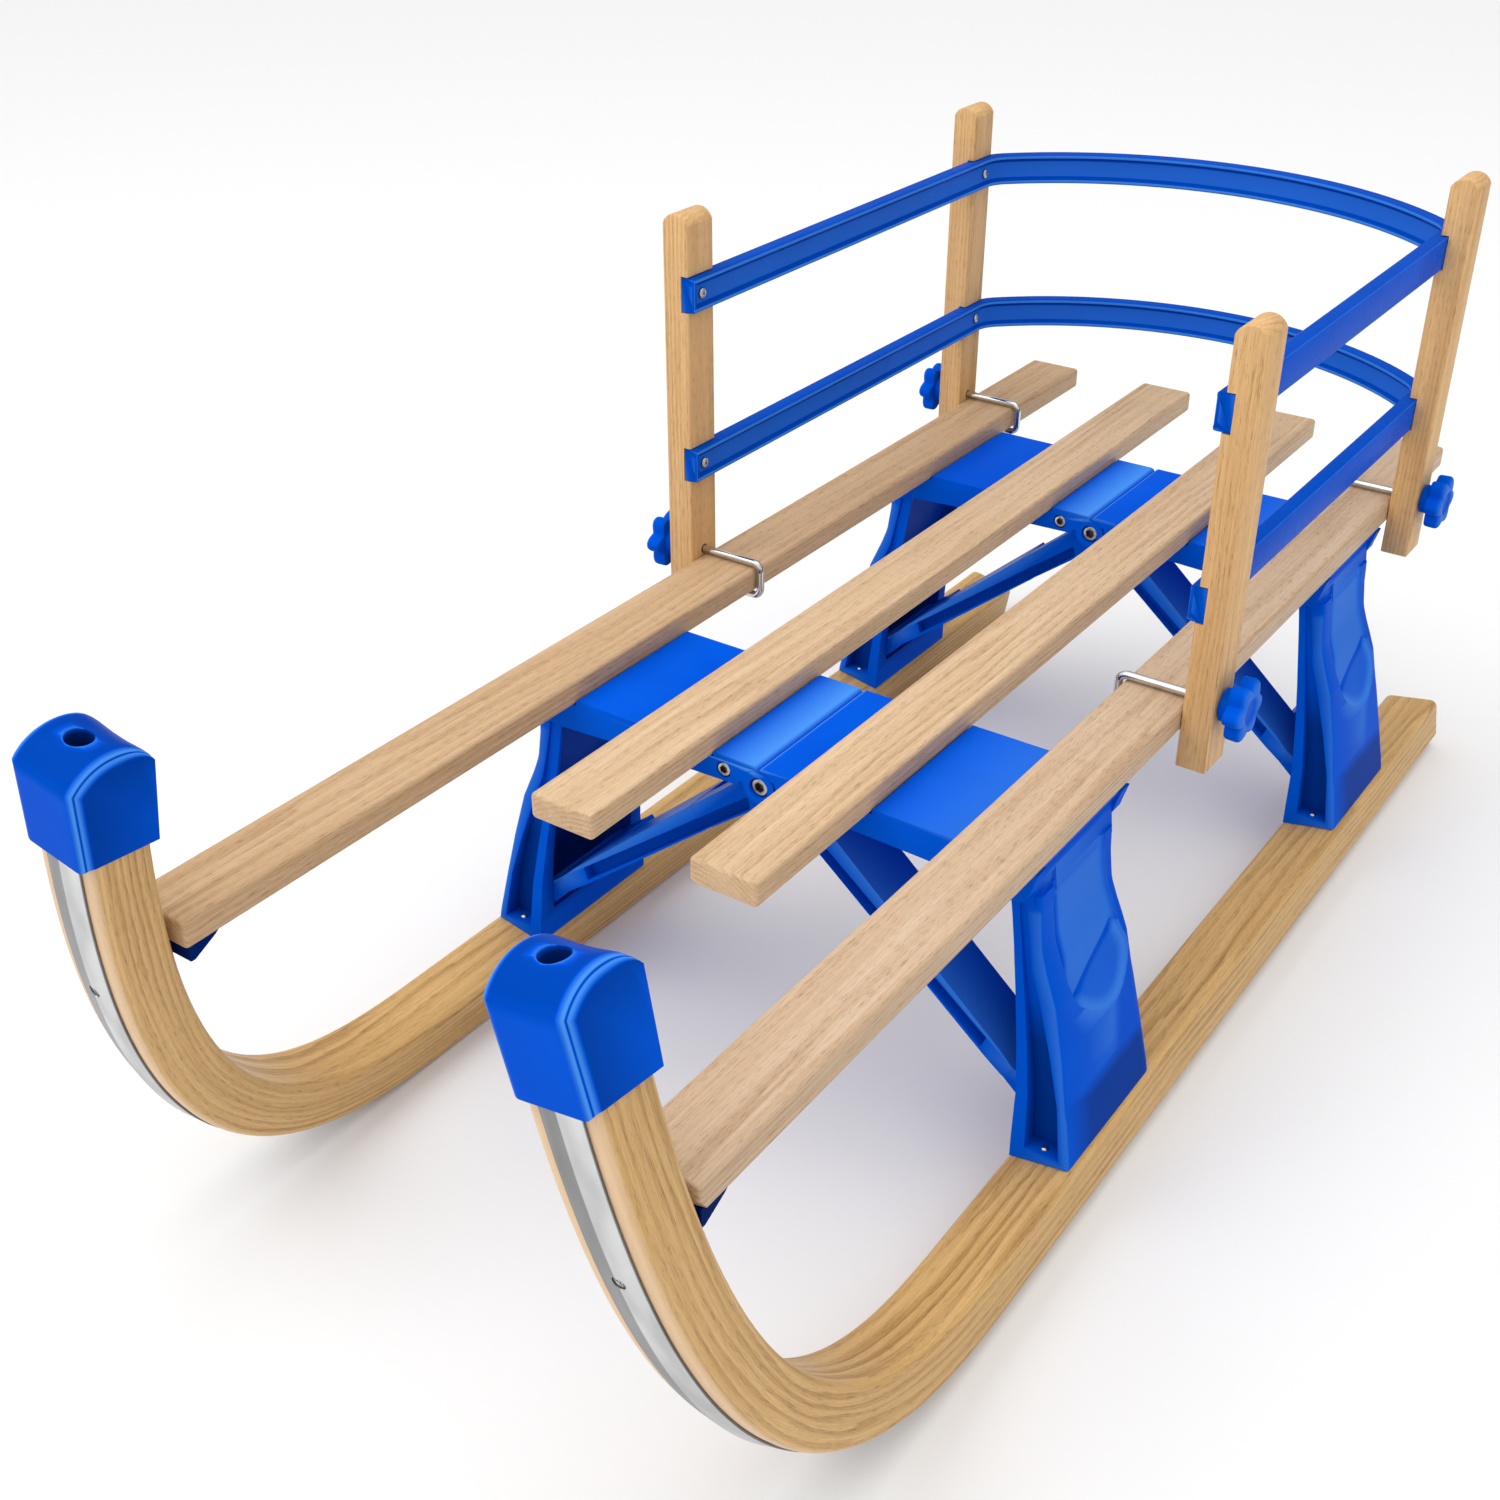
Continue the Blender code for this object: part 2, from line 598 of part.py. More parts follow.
def half_beam(name, station, side):
    """Plate under the slats with skirts, cheeks on the leg pin and lobes on the centre pin."""
    y0, y1 = Y(station), Y(station + BRACKET_L)
    cx, cz = HINGE
    ax, az = LEG_PIN
    edge = GAP / 2

    def xs(a, b):
        return (side * a, side * b)

    slat_in, slat_out = INNER_X - SLAT_W / 2, INNER_X + SLAT_W / 2
    outer_in = OUTER_X - SLAT_W / 2
    low = PLATE_TOP - PLATE_T
    beam = slab(
        name,
        [(side * x, z) for x, z in (
            (edge, PAD_TOP), (slat_in - 0.6, PAD_TOP), (slat_in - 0.6, PLATE_TOP), (slat_out + 0.6, PLATE_TOP),
            (slat_out + 0.6, PAD_TOP), (outer_in - 0.6, PAD_TOP), (outer_in - 0.6, PLATE_TOP), (171.5, PLATE_TOP),
            (171.5, low), (edge, low))],
        "y", (y0, y1), BLUE,
    )
    skirts = []
    for end, (a, b) in (("front", (y0, y0 + SKIRT_T)), ("rear", (y1 - SKIRT_T, y1))):
        skirts.append(slab(
            f"add_skirt_{end}_{name}",
            [(side * x, z) for x, z in (
                (9.0, PLATE_TOP - 1), (14.5, 204.6), (60.0, SKIRT_BOTTOM), (108.0, 201.8), (146.0, 199.6),
                (149.5, 203.0), (150.5, PLATE_TOP - 1))],
            "y", (a, b),
        ))
    cheeks = []
    for end, (a, b) in (("front", (y0, y0 + CHEEK_T)), ("rear", (y1 - CHEEK_T, y1))):
        cheeks.append(rod(f"add_cheek_{end}_{name}", (side * ax, a, az), (side * ax, b, az), CHEEK_R, sides=14))
        cheeks.append(slab(
            f"add_cheek_top_{end}_{name}",
            [(side * x, z) for x, z in (
                (ax - 8.6, az - 2.0), (ax + 8.6, az - 2.0), (ax + 12.5, PLATE_TOP - 1), (ax - 12.5, PLATE_TOP - 1))],
            "y", (a, b),
        ))
    # the butt of the two plates is cleared round the braces' hubs and the other half's lobes
    if side < 0:
        own = [(0.0, BRACE_FRONT - GAP), (BRACE_FRONT + BRACE_W + 12.0 + 2 * GAP, 76.0)]
    else:
        own = [(BRACE_FRONT + BRACE_W + GAP, BRACE_FRONT + BRACE_W + 12.0), (76.0 + GAP, 88.0)]
    ends = [0.0] + [v for span in own for v in span] + [BRACKET_L]
    room = rod(f"cut_hinge_{name}", (0, y0 - 1, cz), (0, y1 + 1, cz), LOBE_R + GAP, sides=18)
    boss = block(f"add_boss_{name}", xs(17.0, 31.0), (y0 + 1, y0 + BRACE_FRONT - GAP), (204.4, PLATE_TOP - 1))
    join(beam, *skirts, *cheeks, boss)
    cut(beam, room)
    for i, (a, b) in enumerate(own):
        lobe = rod(f"add_lobe_{i}_{name}", (0, y0 + a, cz), (0, y0 + b, cz), LOBE_R, sides=18)
        arm = slab(
            f"add_arm_{i}_{name}",
            [(side * x, z) for x, z in ((0.4, cz + 2.0), (0.4, PLATE_TOP - 0.5), (18.0, PLATE_TOP - 0.5), (18.0, 207.0), (9.0, cz + 0.4))],
            "y", (y0 + a, y0 + b),
        )
        join(beam, lobe, arm)
    bore = rod(f"cut_pin_{name}", (0, y0 - 5, cz), (0, y1 + 5, cz), PIN_R + GAP, sides=12)
    leg_bore = rod(f"cut_leg_pin_{name}", (side * ax, y0 - 5, az), (side * ax, y1 + 5, az), PIN_R + GAP, sides=12)
    bolt = rod(f"cut_bolt_{name}", (side * 24.0, y0 - 5, 211.3), (side * 24.0, y0 + 20, 211.3), 2.3, sides=8)
    bolt_seat = rod(f"cut_bolt_seat_{name}", (side * 24.0, y0 - 5, 211.3), (side * 24.0, y0 + 3.2, 211.3), 5.0, sides=14)
    cut(beam, bore, leg_bore, bolt, bolt_seat)
    if side < 0:
        head = rod(f"cut_head_{name}", (0, y0 - 5, cz), (0, y0 + 5.0, cz), 6.3, sides=16)
        cut(beam, head)
    return beam


def brace(name, station, side, lap_in_front):
    """Bar from the centre pin to the cross-bar in the leg channel."""
    y0 = Y(station) + BRACE_FRONT
    y1 = y0 + BRACE_W
    cx, cz = HINGE
    bx, bz = BAR
    axis = Vector((bx - cx, bz - cz))
    length = axis.length
    axis.normalize()
    up = Vector((-axis.y, axis.x))

    def at(points):
        """(distance from the pin, height above the axis) to (x, z)."""
        out = []
        for d, h in points:
            p = Vector((cx, cz)) + axis * d + up * h
            out.append((side * p.x, p.y))
        return out

    half = (y0, y0 + BRACE_W / 2 - GAP / 2) if lap_in_front else (y0 + BRACE_W / 2 + GAP / 2, y1)
    body = slab(
        name,
        at([(BRACE_LAP, 7.6), (length - 34.0, 6.4), (length - 20.0, 5.2), (length - 20.0, -5.2),
            (length - 34.0, -6.2), (100.0, -8.6), (BRACE_LAP, -9.6)]),
        "y", (y0, y1), BLUE,
    )
    lap = slab(
        f"add_lap_{name}",
        at([(4.0, 7.0), (20.0, 7.0), (BRACE_LAP + 4.0, 7.4), (BRACE_LAP + 4.0, -9.2), (34.0, -11.6), (4.0, -8.2)]),
        "y", (half[0] + 0.15, half[1] - 0.15),
    )
    hub = rod(f"add_hub_{name}", (0, half[0], cz), (0, half[1], cz), HUB_R, sides=16)
    flange = slab(
        f"add_flange_{name}",
        at([(length - 36.0, 5.4), (length, 5.6), (length, -5.6), (length - 36.0, -5.0)]),
        "y", (y0 + 0.5, Y(station) + BRACKET_L - BRACE_FRONT - 0.4),
    )
    cross = rod(
        f"add_cross_{name}", (side * bx, y0 + 0.2, bz), (side * bx, Y(station) + BRACKET_L - BRACE_FRONT, bz), BAR_R, sides=14
    )
    join(body, lap, hub, flange, cross)
    channel = slab(
        f"cut_channel_{name}",
        at([(34.0, 2.2), (length - 44.0, 1.6), (length - 44.0, -3.4), (34.0, -8.2)]),
        "y", (y0 - 5.0, y0 + 5.0),
    )
    bore = rod(f"cut_bore_{name}", (0, y0 - 5, cz), (0, y1 + 5, cz), PIN_R + GAP, sides=12)
    cut(body, channel, bore)
    return body


for place, station in BRACKETS.items():
    y0, y1 = Y(station), Y(station + BRACKET_L)
    for hand, side in SIDES.items():
        leg(f"leg_{place}_{hand}", station, side)
        half_beam(f"half_beam_{place}_{hand}", station, side)
        brace(f"brace_{place}_{hand}", station, side, side < 0)
        ax, az = LEG_PIN
        rod(f"leg_pin_{place}_{hand}", (side * ax, y0 + 0.6, az), (side * ax, y1 - 0.6, az), PIN_R, ZINC, sides=12)
        bolt = rod(f"block_bolt_{place}_{hand}", (side * 24.0, y0 + 0.2, 211.3), (side * 24.0, y0 + 2.9, 211.3), 4.7, ZINC, sides=14)
        join(bolt, rod(f"add_bolt_{place}_{hand}", (side * 24.0, y0 + 1.0, 211.3), (side * 24.0, y0 + 11.0, 211.3), 2.0, sides=8))
    cx, cz = HINGE
    pin = rod(f"centre_hinge_pin_{place}", (0, y0 + 1.0, cz), (0, y0 + 4.7, cz), 6.0, ZINC, sides=16)
    join(pin, rod(f"add_pin_{place}", (0, y0 + 2.0, cz), (0, y1 - 12.0, cz), PIN_R, sides=12))

# ---- backrest ------------------------------------------------------------
def rail_path(inset):
    """Plan of a rail, inset from its outer face: straight sides, bends, back arc."""
    r_back = RAIL_BACK_R - inset
    x_side = RAIL_OUT - inset
    r_bend = RAIL_BEND_R - inset
    cy = Y(RAIL_BACK) - RAIL_BACK_R
    # centre of the corner bend: inside the side line and inside the back arc
    bx = x_side - r_bend
    by = cy + math.sqrt((r_back - r_bend) ** 2 - bx**2)
    turn = math.degrees(math.atan2(by - cy, bx))
    right = [(x_side, Y(POSTS["front"] + 0.6))] + arc((bx, by), r_bend, 0.0, turn, 3)
    back = arc((0.0, cy), r_back, turn, 90.0, 6)
    half = right + back[1:]
    return [(x, y, 0.0) for x, y in half] + [(-x, y, 0.0) for x, y in reversed(half[:-1])]


for level, height in RAILS.items():
    d, h, lip = (RAIL_OUT - RAIL_IN) / 2, RAIL_H / 2, RAIL_LIP
    mid = (RAIL_OUT - RAIL_IN) / 2
    # the section's x points to the inner side of the loop
    section = [(-d, -h), (d, -h), (d, -h + lip), (d - RAIL_DISH, -h + lip + 1.0),
               (d - RAIL_DISH, h - lip - 1.0), (d, h - lip), (d, h), (-d, h)]
    rail = swept(
        f"rail_{level}", [(x, y, height) for x, y, _ in rail_path(mid)], [(-a, b) for a, b in section], RAIL_BLUE,
    )
    rail_objects = bpy.data.objects[f"rail_{level}"]
    for place, station in POSTS.items():
        for hand, side in SIDES.items():
            y = Y(station + POST_W / 2 - (1.0 if place == "rear" else 3.0))
            face = side * (RAIL_IN + RAIL_DISH)
            bore = rod(
                f"cut_rail_{level}_{place}_{hand}", (side * 160, y, height), (side * 189.0, y, height), SCREW_R + GAP, sides=8
            )
            cut(rail, bore)
            screw = rod(
                f"rail_screw_{level}_{place}_{hand}", (face - side * 1.9, y, height), (face - side * GAP, y, height), 4.2, ZINC, sides=10
            )
            join(screw, rod(
                f"add_rail_screw_{level}_{place}_{hand}", (face - side * 1.2, y, height), (side * 187.0, y, height), SCREW_R, sides=8
            ))

for place, station in POSTS.items():
    y0, y1 = Y(station), Y(station + POST_W)
    ym = (y0 + y1) / 2
    for hand, side in SIDES.items():
        # the top is arched from side to side
        xm, half = (POST_X0 + POST_X1) / 2, (POST_X1 - POST_X0) / 2
        r = (half**2 + POST_ARCH**2) / (2 * POST_ARCH)
        top = [(xm + half * math.cos(math.pi * i / 6), 0) for i in range(7)]
        top = [(x, POST_TOP + POST_ARCH - r + math.sqrt(max(r * r - (x - xm) ** 2, 0.0))) for x, _ in top]
        post = slab(
            f"post_{place}_{hand}",
            [(side * x, z) for x, z in [(POST_X0, POST_BOTTOM), (POST_X1, POST_BOTTOM), *top]], "y", (y0, y1), BEECH,
        )
        for level, height in RAILS.items():
            cut(post, block(
                f"cut_notch_{level}_{place}_{hand}", (side * 160.0, side * (RAIL_OUT + GAP)), (y0 - 5, y1 + 5),
                (height - RAIL_H / 2 - GAP, height + RAIL_H / 2 + GAP),
            ))
            y = Y(station + POST_W / 2 - (1.0 if place == "rear" else 3.0))
            cut(post, rod(
                f"cut_post_{level}_{place}_{hand}", (side * 160, y, height), (side * 189.0, y, height), SCREW_R + GAP, sides=8
            ))
        cut(post, rod(
            f"cut_hook_{place}_{hand}", (side * 165, ym, HOOK_Z), (side * 205, ym, HOOK_Z), WIRE_R + GAP, sides=12
        ))

        # hook: along the slat's top, down its inner edge and back under it
        bend_r = 5.5
        path = [(HOOK_TIP_X, HOOK_Z), (HOOK_X + bend_r, HOOK_Z)]
        path += arc((HOOK_X + bend_r, HOOK_Z - bend_r), bend_r, 90, 180, 3)[1:]
        path += arc((HOOK_X + bend_r, HOOK_UNDER_Z + bend_r), bend_r, 180, 270, 3)
        path += [(HOOK_LIP_X, HOOK_UNDER_Z)]
        # pull the inner side of each bend clear of the slat's rounded edge
        wire(f"hook_{place}_{hand}", [(side * x, ym, z) for x, z in path], WIRE_R, CHROME)

        # knob: a neck against the post and a lobed head
        knob = rod(
            f"knob_{place}_{hand}", (side * KNOB_X0, ym, HOOK_Z), (side * (KNOB_X1 + 1), ym, HOOK_Z), KNOB_NECK_R, BLUE, sides=14
        )
        lobes = []
        for i in range(24):
            a = 2 * math.pi * i / 24
            r = KNOB_R - 2.6 + 2.6 * math.cos(6 * a)
            lobes.append((ym + r * math.cos(a), HOOK_Z + r * math.sin(a)))
        star = slab(f"add_star_{place}_{hand}", lobes, "x", (side * KNOB_X1, side * KNOB_X2))
        join(knob, star)
        cut(knob, rod(
            f"cut_knob_{place}_{hand}", (side * 185, ym, HOOK_Z), (side * (HOOK_TIP_X + 1.0), ym, HOOK_Z), WIRE_R + GAP, sides=12
        ))

# stand the shoes on the ground
for obj in list(parts.objects) + list(cutters.objects):
    obj.matrix_world = Matrix.Translation((0, 0, LIFT * MM)) @ obj.matrix_world
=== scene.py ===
"""Looks of the folding wooden sled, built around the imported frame."""

import math
import random

import bmesh
import bpy
import numpy as np
from mathutils import Matrix, Vector, kdtree


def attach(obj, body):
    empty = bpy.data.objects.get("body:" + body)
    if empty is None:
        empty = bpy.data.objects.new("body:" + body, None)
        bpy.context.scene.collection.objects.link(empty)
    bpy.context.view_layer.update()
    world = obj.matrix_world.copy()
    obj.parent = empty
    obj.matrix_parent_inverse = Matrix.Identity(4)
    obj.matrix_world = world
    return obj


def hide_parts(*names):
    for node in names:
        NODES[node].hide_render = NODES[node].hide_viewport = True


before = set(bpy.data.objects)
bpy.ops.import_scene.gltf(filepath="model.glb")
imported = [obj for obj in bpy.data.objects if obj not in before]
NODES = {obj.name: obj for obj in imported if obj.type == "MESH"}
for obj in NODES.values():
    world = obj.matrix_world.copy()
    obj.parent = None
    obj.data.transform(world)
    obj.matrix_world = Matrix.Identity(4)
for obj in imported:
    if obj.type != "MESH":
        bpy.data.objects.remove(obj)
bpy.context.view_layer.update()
MM = 0.001

# ---- the sled's dimensions, in millimetres, as the frame has them ---------
NOSE_FRONT, LENGTH, GAP = 6.2, 1012.0, 0.3
CANT = math.radians(10.0)
RUNNER_X, RUNNER_Z, RUNNER_W, RUNNER_T, RUNNER_MID = 195.8, -1.4, 41.0, 33.0, 14.0
RUNNER_END, BEND_START, BEND_REACH = 999.0, 281.9, 83.0
NOSE_STATION, NOSE_TOP, NOSE_LEAN, NOSE_REACH = 30.4, 322.0, math.radians(87.6), 315.2
SHOE_W, SHOE_EDGE, SHOE_FLAT = 22.6, 1.0, 0.6
SHOE_SCREW_Z = 209.0
SHOE_CROWN = SHOE_EDGE + (SHOE_W / 2 - SHOE_FLAT) * math.tan(CANT)
LIFT = -(
    RUNNER_Z - SHOE_FLAT * math.sin(CANT)
    + (RUNNER_MID - RUNNER_T / 2 - GAP - SHOE_CROWN) * math.cos(CANT)
)
CAP_W, CAP_FRONT, CAP_BACK, CAP_BOTTOM = 44.6, 9.9, 50.3, 302.0
CAP_SHOULDER, CAP_REAR_SHOULDER, CAP_TOP, CAP_APEX = 348.8, 347.3, 359.3, 28.5
SEAT_TOP, SLAT_T, SLAT_W = 234.0, 16.0, 42.0
SLAT_BOTTOM = SEAT_TOP - SLAT_T
OUTER_X, INNER_X, OUTER_START, OUTER_END, INNER_START = 152.6, 52.4, 59.5, 1011.0, 243.5
BRACKETS = {"front": 350.5, "rear": 767.0}
BRACKET_L = 109.5
HINGE, LEG_PIN = (0.0, 207.5), (161.0, 205.5)
PIN_R = 3.0
PLATE_TOP, PLATE_T, PAD_TOP = SLAT_BOTTOM - GAP, 3.4, 221.0
SKIRT_BOTTOM, SKIRT_T = 203.5, 4.0
LOBE_R, HUB_R, CHEEK_R, CHEEK_T = 10.5, 9.3, 9.0, 10.5
LEG = (
    (40.0, 172.1, 207.2, 54.2), (70.0, 171.2, 201.2, 51.5), (100.0, 167.7, 194.9, 48.7),
    (130.0, 163.3, 187.3, 46.0), (150.0, 160.1, 179.0, 44.4), (162.0, 158.2, 175.0, 43.4),
    (180.0, 155.6, 172.6, 43.0), (195.6, 153.2, 171.6, 43.0),
)
LEG_ROOM, LEG_SKIN = 40.6, 4.0
BAR, BAR_R = (175.0, 56.5), 7.0
BRACE_FRONT, BRACE_W, BRACE_LAP = 14.8, 37.6, 72.0
POST_X0, POST_X1, POST_W = 173.9, 192.6, 27.0
POSTS = {"front": 524.6, "rear": 883.4}
POST_BOTTOM, POST_TOP, POST_ARCH = 196.0, 454.0, 6.5
RAIL_IN, RAIL_OUT = 169.0, 178.9
RAILS = {"upper": 411.8, "lower": 300.3}
RAIL_H, RAIL_BACK, RAIL_BACK_R, RAIL_BEND_R = 21.5, 991.0, 240.7, 34.0
WIRE_R = 3.0
HOOK_Z, HOOK_UNDER_Z = SEAT_TOP + WIRE_R + GAP, SLAT_BOTTOM - WIRE_R - GAP
HOOK_X, HOOK_LIP_X, HOOK_TIP_X = OUTER_X - SLAT_W / 2 - WIRE_R - GAP, 146.0, 204.5
KNOB_R, KNOB_NECK_R = 17.5, 10.0
KNOB_X0, KNOB_X1, KNOB_X2 = POST_X1 + GAP, 198.5, 209.5
SIDES = {"left": -1, "right": 1}


def Y(station):
    return station - (NOSE_FRONT + LENGTH) / 2


def seat_body(hand):
    return f"seat_{hand}"


def clamp(x, a=0.0, b=1.0):
    return max(a, min(b, x))


def smooth(x, a, b):
    """0 below a, 1 above b, smooth between."""
    t = clamp((x - a) / (b - a))
    return t * t * (3 - 2 * t)


# ---- shader helpers -------------------------------------------------------
class Tree:
    """Short calls for building a node tree."""

    def __init__(self, tree):
        self.tree = tree

    def node(self, kind, **values):
        made = self.tree.nodes.new(kind)
        inputs = values.pop("inputs", {})
        for key, value in values.items():
            setattr(made, key, value)
        for key, value in inputs.items():
            self.put(made.inputs[key], value)
        return made

    def put(self, socket, value):
        if isinstance(value, bpy.types.NodeSocket):
            self.tree.links.new(value, socket)
        else:
            socket.default_value = value

    def math(self, what, a, b=0.0, c=0.0, clamped=False):
        made = self.tree.nodes.new("ShaderNodeMath")
        made.operation = what
        made.use_clamp = clamped
        for socket, value in zip(made.inputs, (a, b, c)):
            self.put(socket, value)
        return made.outputs[0]

    def vmath(self, what, a, b=(0, 0, 0), out=0):
        made = self.tree.nodes.new("ShaderNodeVectorMath")
        made.operation = what
        self.put(made.inputs[0], a)
        if what == "SCALE":
            self.put(made.inputs[3], b)
        else:
            self.put(made.inputs[1], b)
        return made.outputs[out]

    def noise(self, vector, scale=1.0, detail=2.0, rough=0.5, out="Fac", distortion=0.0):
        made = self.tree.nodes.new("ShaderNodeTexNoise")
        for key, value in (("Vector", vector), ("Scale", scale), ("Detail", detail), ("Roughness", rough), ("Distortion", distortion)):
            self.put(made.inputs[key], value)
        return made.outputs[out]

    def range(self, value, a, b, to_a=0.0, to_b=1.0, kind="SMOOTHSTEP"):
        made = self.tree.nodes.new("ShaderNodeMapRange")
        made.interpolation_type = kind
        for socket, v in zip(made.inputs, (value, a, b, to_a, to_b)):
            self.put(socket, v)
        return made.outputs[0]

    def mix(self, fac, a, b, kind="MIX"):
        made = self.tree.nodes.new("ShaderNodeMix")
        made.data_type = "RGBA"
        made.blend_type = kind
        self.put(made.inputs[0], fac)
        self.put(made.inputs[6], a)
        self.put(made.inputs[7], b)
        return made.outputs[2]

    def xyz(self, x, y, z):
        made = self.tree.nodes.new("ShaderNodeCombineXYZ")
        for socket, value in zip(made.inputs, (x, y, z)):
            self.put(socket, value)
        return made.outputs[0]

    def split(self, vector):
        made = self.tree.nodes.new("ShaderNodeSeparateXYZ")
        self.put(made.inputs[0], vector)
        return made.outputs


def material(name):
    """A fresh Principled material: (material, tree helper, shader)."""
    made = bpy.data.materials.new(name)
    made.use_nodes = True
    made.node_tree.nodes.clear()
    t = Tree(made.node_tree)
    shader = t.node("ShaderNodeBsdfPrincipled")
    out = t.node("ShaderNodeOutputMaterial")
    t.put(out.inputs["Surface"], shader.outputs[0])
    return made, t, shader


def wood(name, light, mid, dark, spacing, ring_dark, streak, pore_dark, wander, pith, rough):
    """Varnished wood. The attribute grain holds (across, along, through) in
    millimetres, so the figure follows a bent piece too."""
    made, t, shader = material(name)
    g = t.node("ShaderNodeAttribute", attribute_name="grain").outputs["Vector"]
    u, s, v = t.split(g)
    # the year rings: shells round a pith line far off, wandering along the length
    slow = t.noise(t.xyz(t.math("MULTIPLY", u, 0.018), t.math("MULTIPLY", s, 0.0032), t.math("MULTIPLY", v, 0.018)), 1.0, 3.0, 0.45, out="Color")
    su, sv, sw = t.split(slow)
    wu = t.math("ADD", u, t.math("MULTIPLY", t.math("SUBTRACT", su, 0.5), wander))
    wv = t.math("ADD", v, t.math("MULTIPLY", t.math("SUBTRACT", sv, 0.5), wander))
    du, dv = t.math("SUBTRACT", wu, pith[0]), t.math("SUBTRACT", wv, pith[1])
    r = t.math("SQRT", t.math("ADD", t.math("MULTIPLY", du, du), t.math("MULTIPLY", dv, dv)))
    jitter = t.noise(t.xyz(t.math("MULTIPLY", u, 0.25), t.math("MULTIPLY", s, 0.012), t.math("MULTIPLY", v, 0.25)), 1.0, 3.0, 0.55)
    r = t.math("ADD", r, t.math("MULTIPLY", jitter, spacing * 1.1))
    phase = t.math("FRACT", t.math("DIVIDE", r, spacing))
    late = t.math("MULTIPLY", t.range(phase, 0.25, 0.86), t.range(phase, 1.0, 0.90))
    # rings fade in and out
    fade = t.range(t.noise(t.xyz(t.math("MULTIPLY", u, 0.06), t.math("MULTIPLY", s, 0.006), t.math("MULTIPLY", v, 0.06)), 1.0, 2.0), 0.36, 0.66)
    ring = t.math("MULTIPLY", late, t.math("MULTIPLY_ADD", fade, 0.75, 0.25))
    # fine streaks along the grain, and short dark pores
    fine = t.noise(t.xyz(t.math("MULTIPLY", u, 0.9), t.math("MULTIPLY", s, 0.012), t.math("MULTIPLY", v, 0.9)), 1.0, 4.0, 0.6)
    broad = t.noise(t.xyz(t.math("MULTIPLY", u, 0.12), t.math("MULTIPLY", s, 0.004), t.math("MULTIPLY", v, 0.12)), 1.0, 2.0, 0.5)
    pore = t.noise(t.xyz(t.math("MULTIPLY", u, 3.0), t.math("MULTIPLY", s, 0.11), t.math("MULTIPLY", v, 3.0)), 1.0, 2.0, 0.55)
    pores = t.math("MULTIPLY", t.range(pore, 0.56, 0.66), t.math("MULTIPLY_ADD", late, 0.50, 0.50))
    long_line = t.noise(t.xyz(t.math("MULTIPLY", u, 1.1), t.math("MULTIPLY", s, 0.009), t.math("MULTIPLY", v, 1.1)), 1.0, 3.0, 0.6)
    lines = t.math("MULTIPLY", t.range(long_line, 0.64, 0.72), fade)
    tone = t.math("ADD", t.math("MULTIPLY", t.range(fine, 0.3, 0.7), streak), t.math("MULTIPLY", t.range(broad, 0.3, 0.7), 0.45), clamped=True)
    colour = t.mix(tone, light, mid)
    colour = t.mix(t.math("MULTIPLY", ring, ring_dark, clamped=True), colour, dark)
    brown = tuple(c * 0.42 for c in dark[:3]) + (1.0,)
    colour = t.mix(t.math("MULTIPLY", t.math("ADD", pores, t.math("MULTIPLY", lines, 0.8), clamped=True), pore_dark), colour, brown)
    # a piece marked warm has a deeper varnish
    warm = t.node("ShaderNodeAttribute", attribute_name="warm").outputs["Fac"]
    colour = t.mix(t.math("MULTIPLY", warm, 1.0, clamped=True), colour, (1.12, 0.99, 0.72, 1), "MULTIPLY")
    # where it is negative the colour goes lighter and plain: partly the plain face of a single layer, partly a painted
    # highlight
    colour = t.mix(t.math("MULTIPLY", warm, -0.75, clamped=True), colour, (0.80, 0.57, 0.37, 1))
    t.put(shader.inputs["Base Color"], colour)
    t.put(shader.inputs["Roughness"], t.math("ADD", t.math("MULTIPLY", ring, 0.05), t.math("MULTIPLY_ADD", fine, 0.12, rough - 0.06)))
    shader.inputs["Specular IOR Level"].default_value = 0.26
    bump = t.node("ShaderNodeBump", inputs={"Strength": 0.22, "Distance": 0.0004})
    height = t.math("SUBTRACT", t.math("MULTIPLY", fine, 0.35), t.math("MULTIPLY", t.math("ADD", pores, lines, clamped=True), 0.8))
    t.put(bump.inputs["Height"], height)
    t.put(shader.inputs["Normal"], bump.outputs[0])
    return made


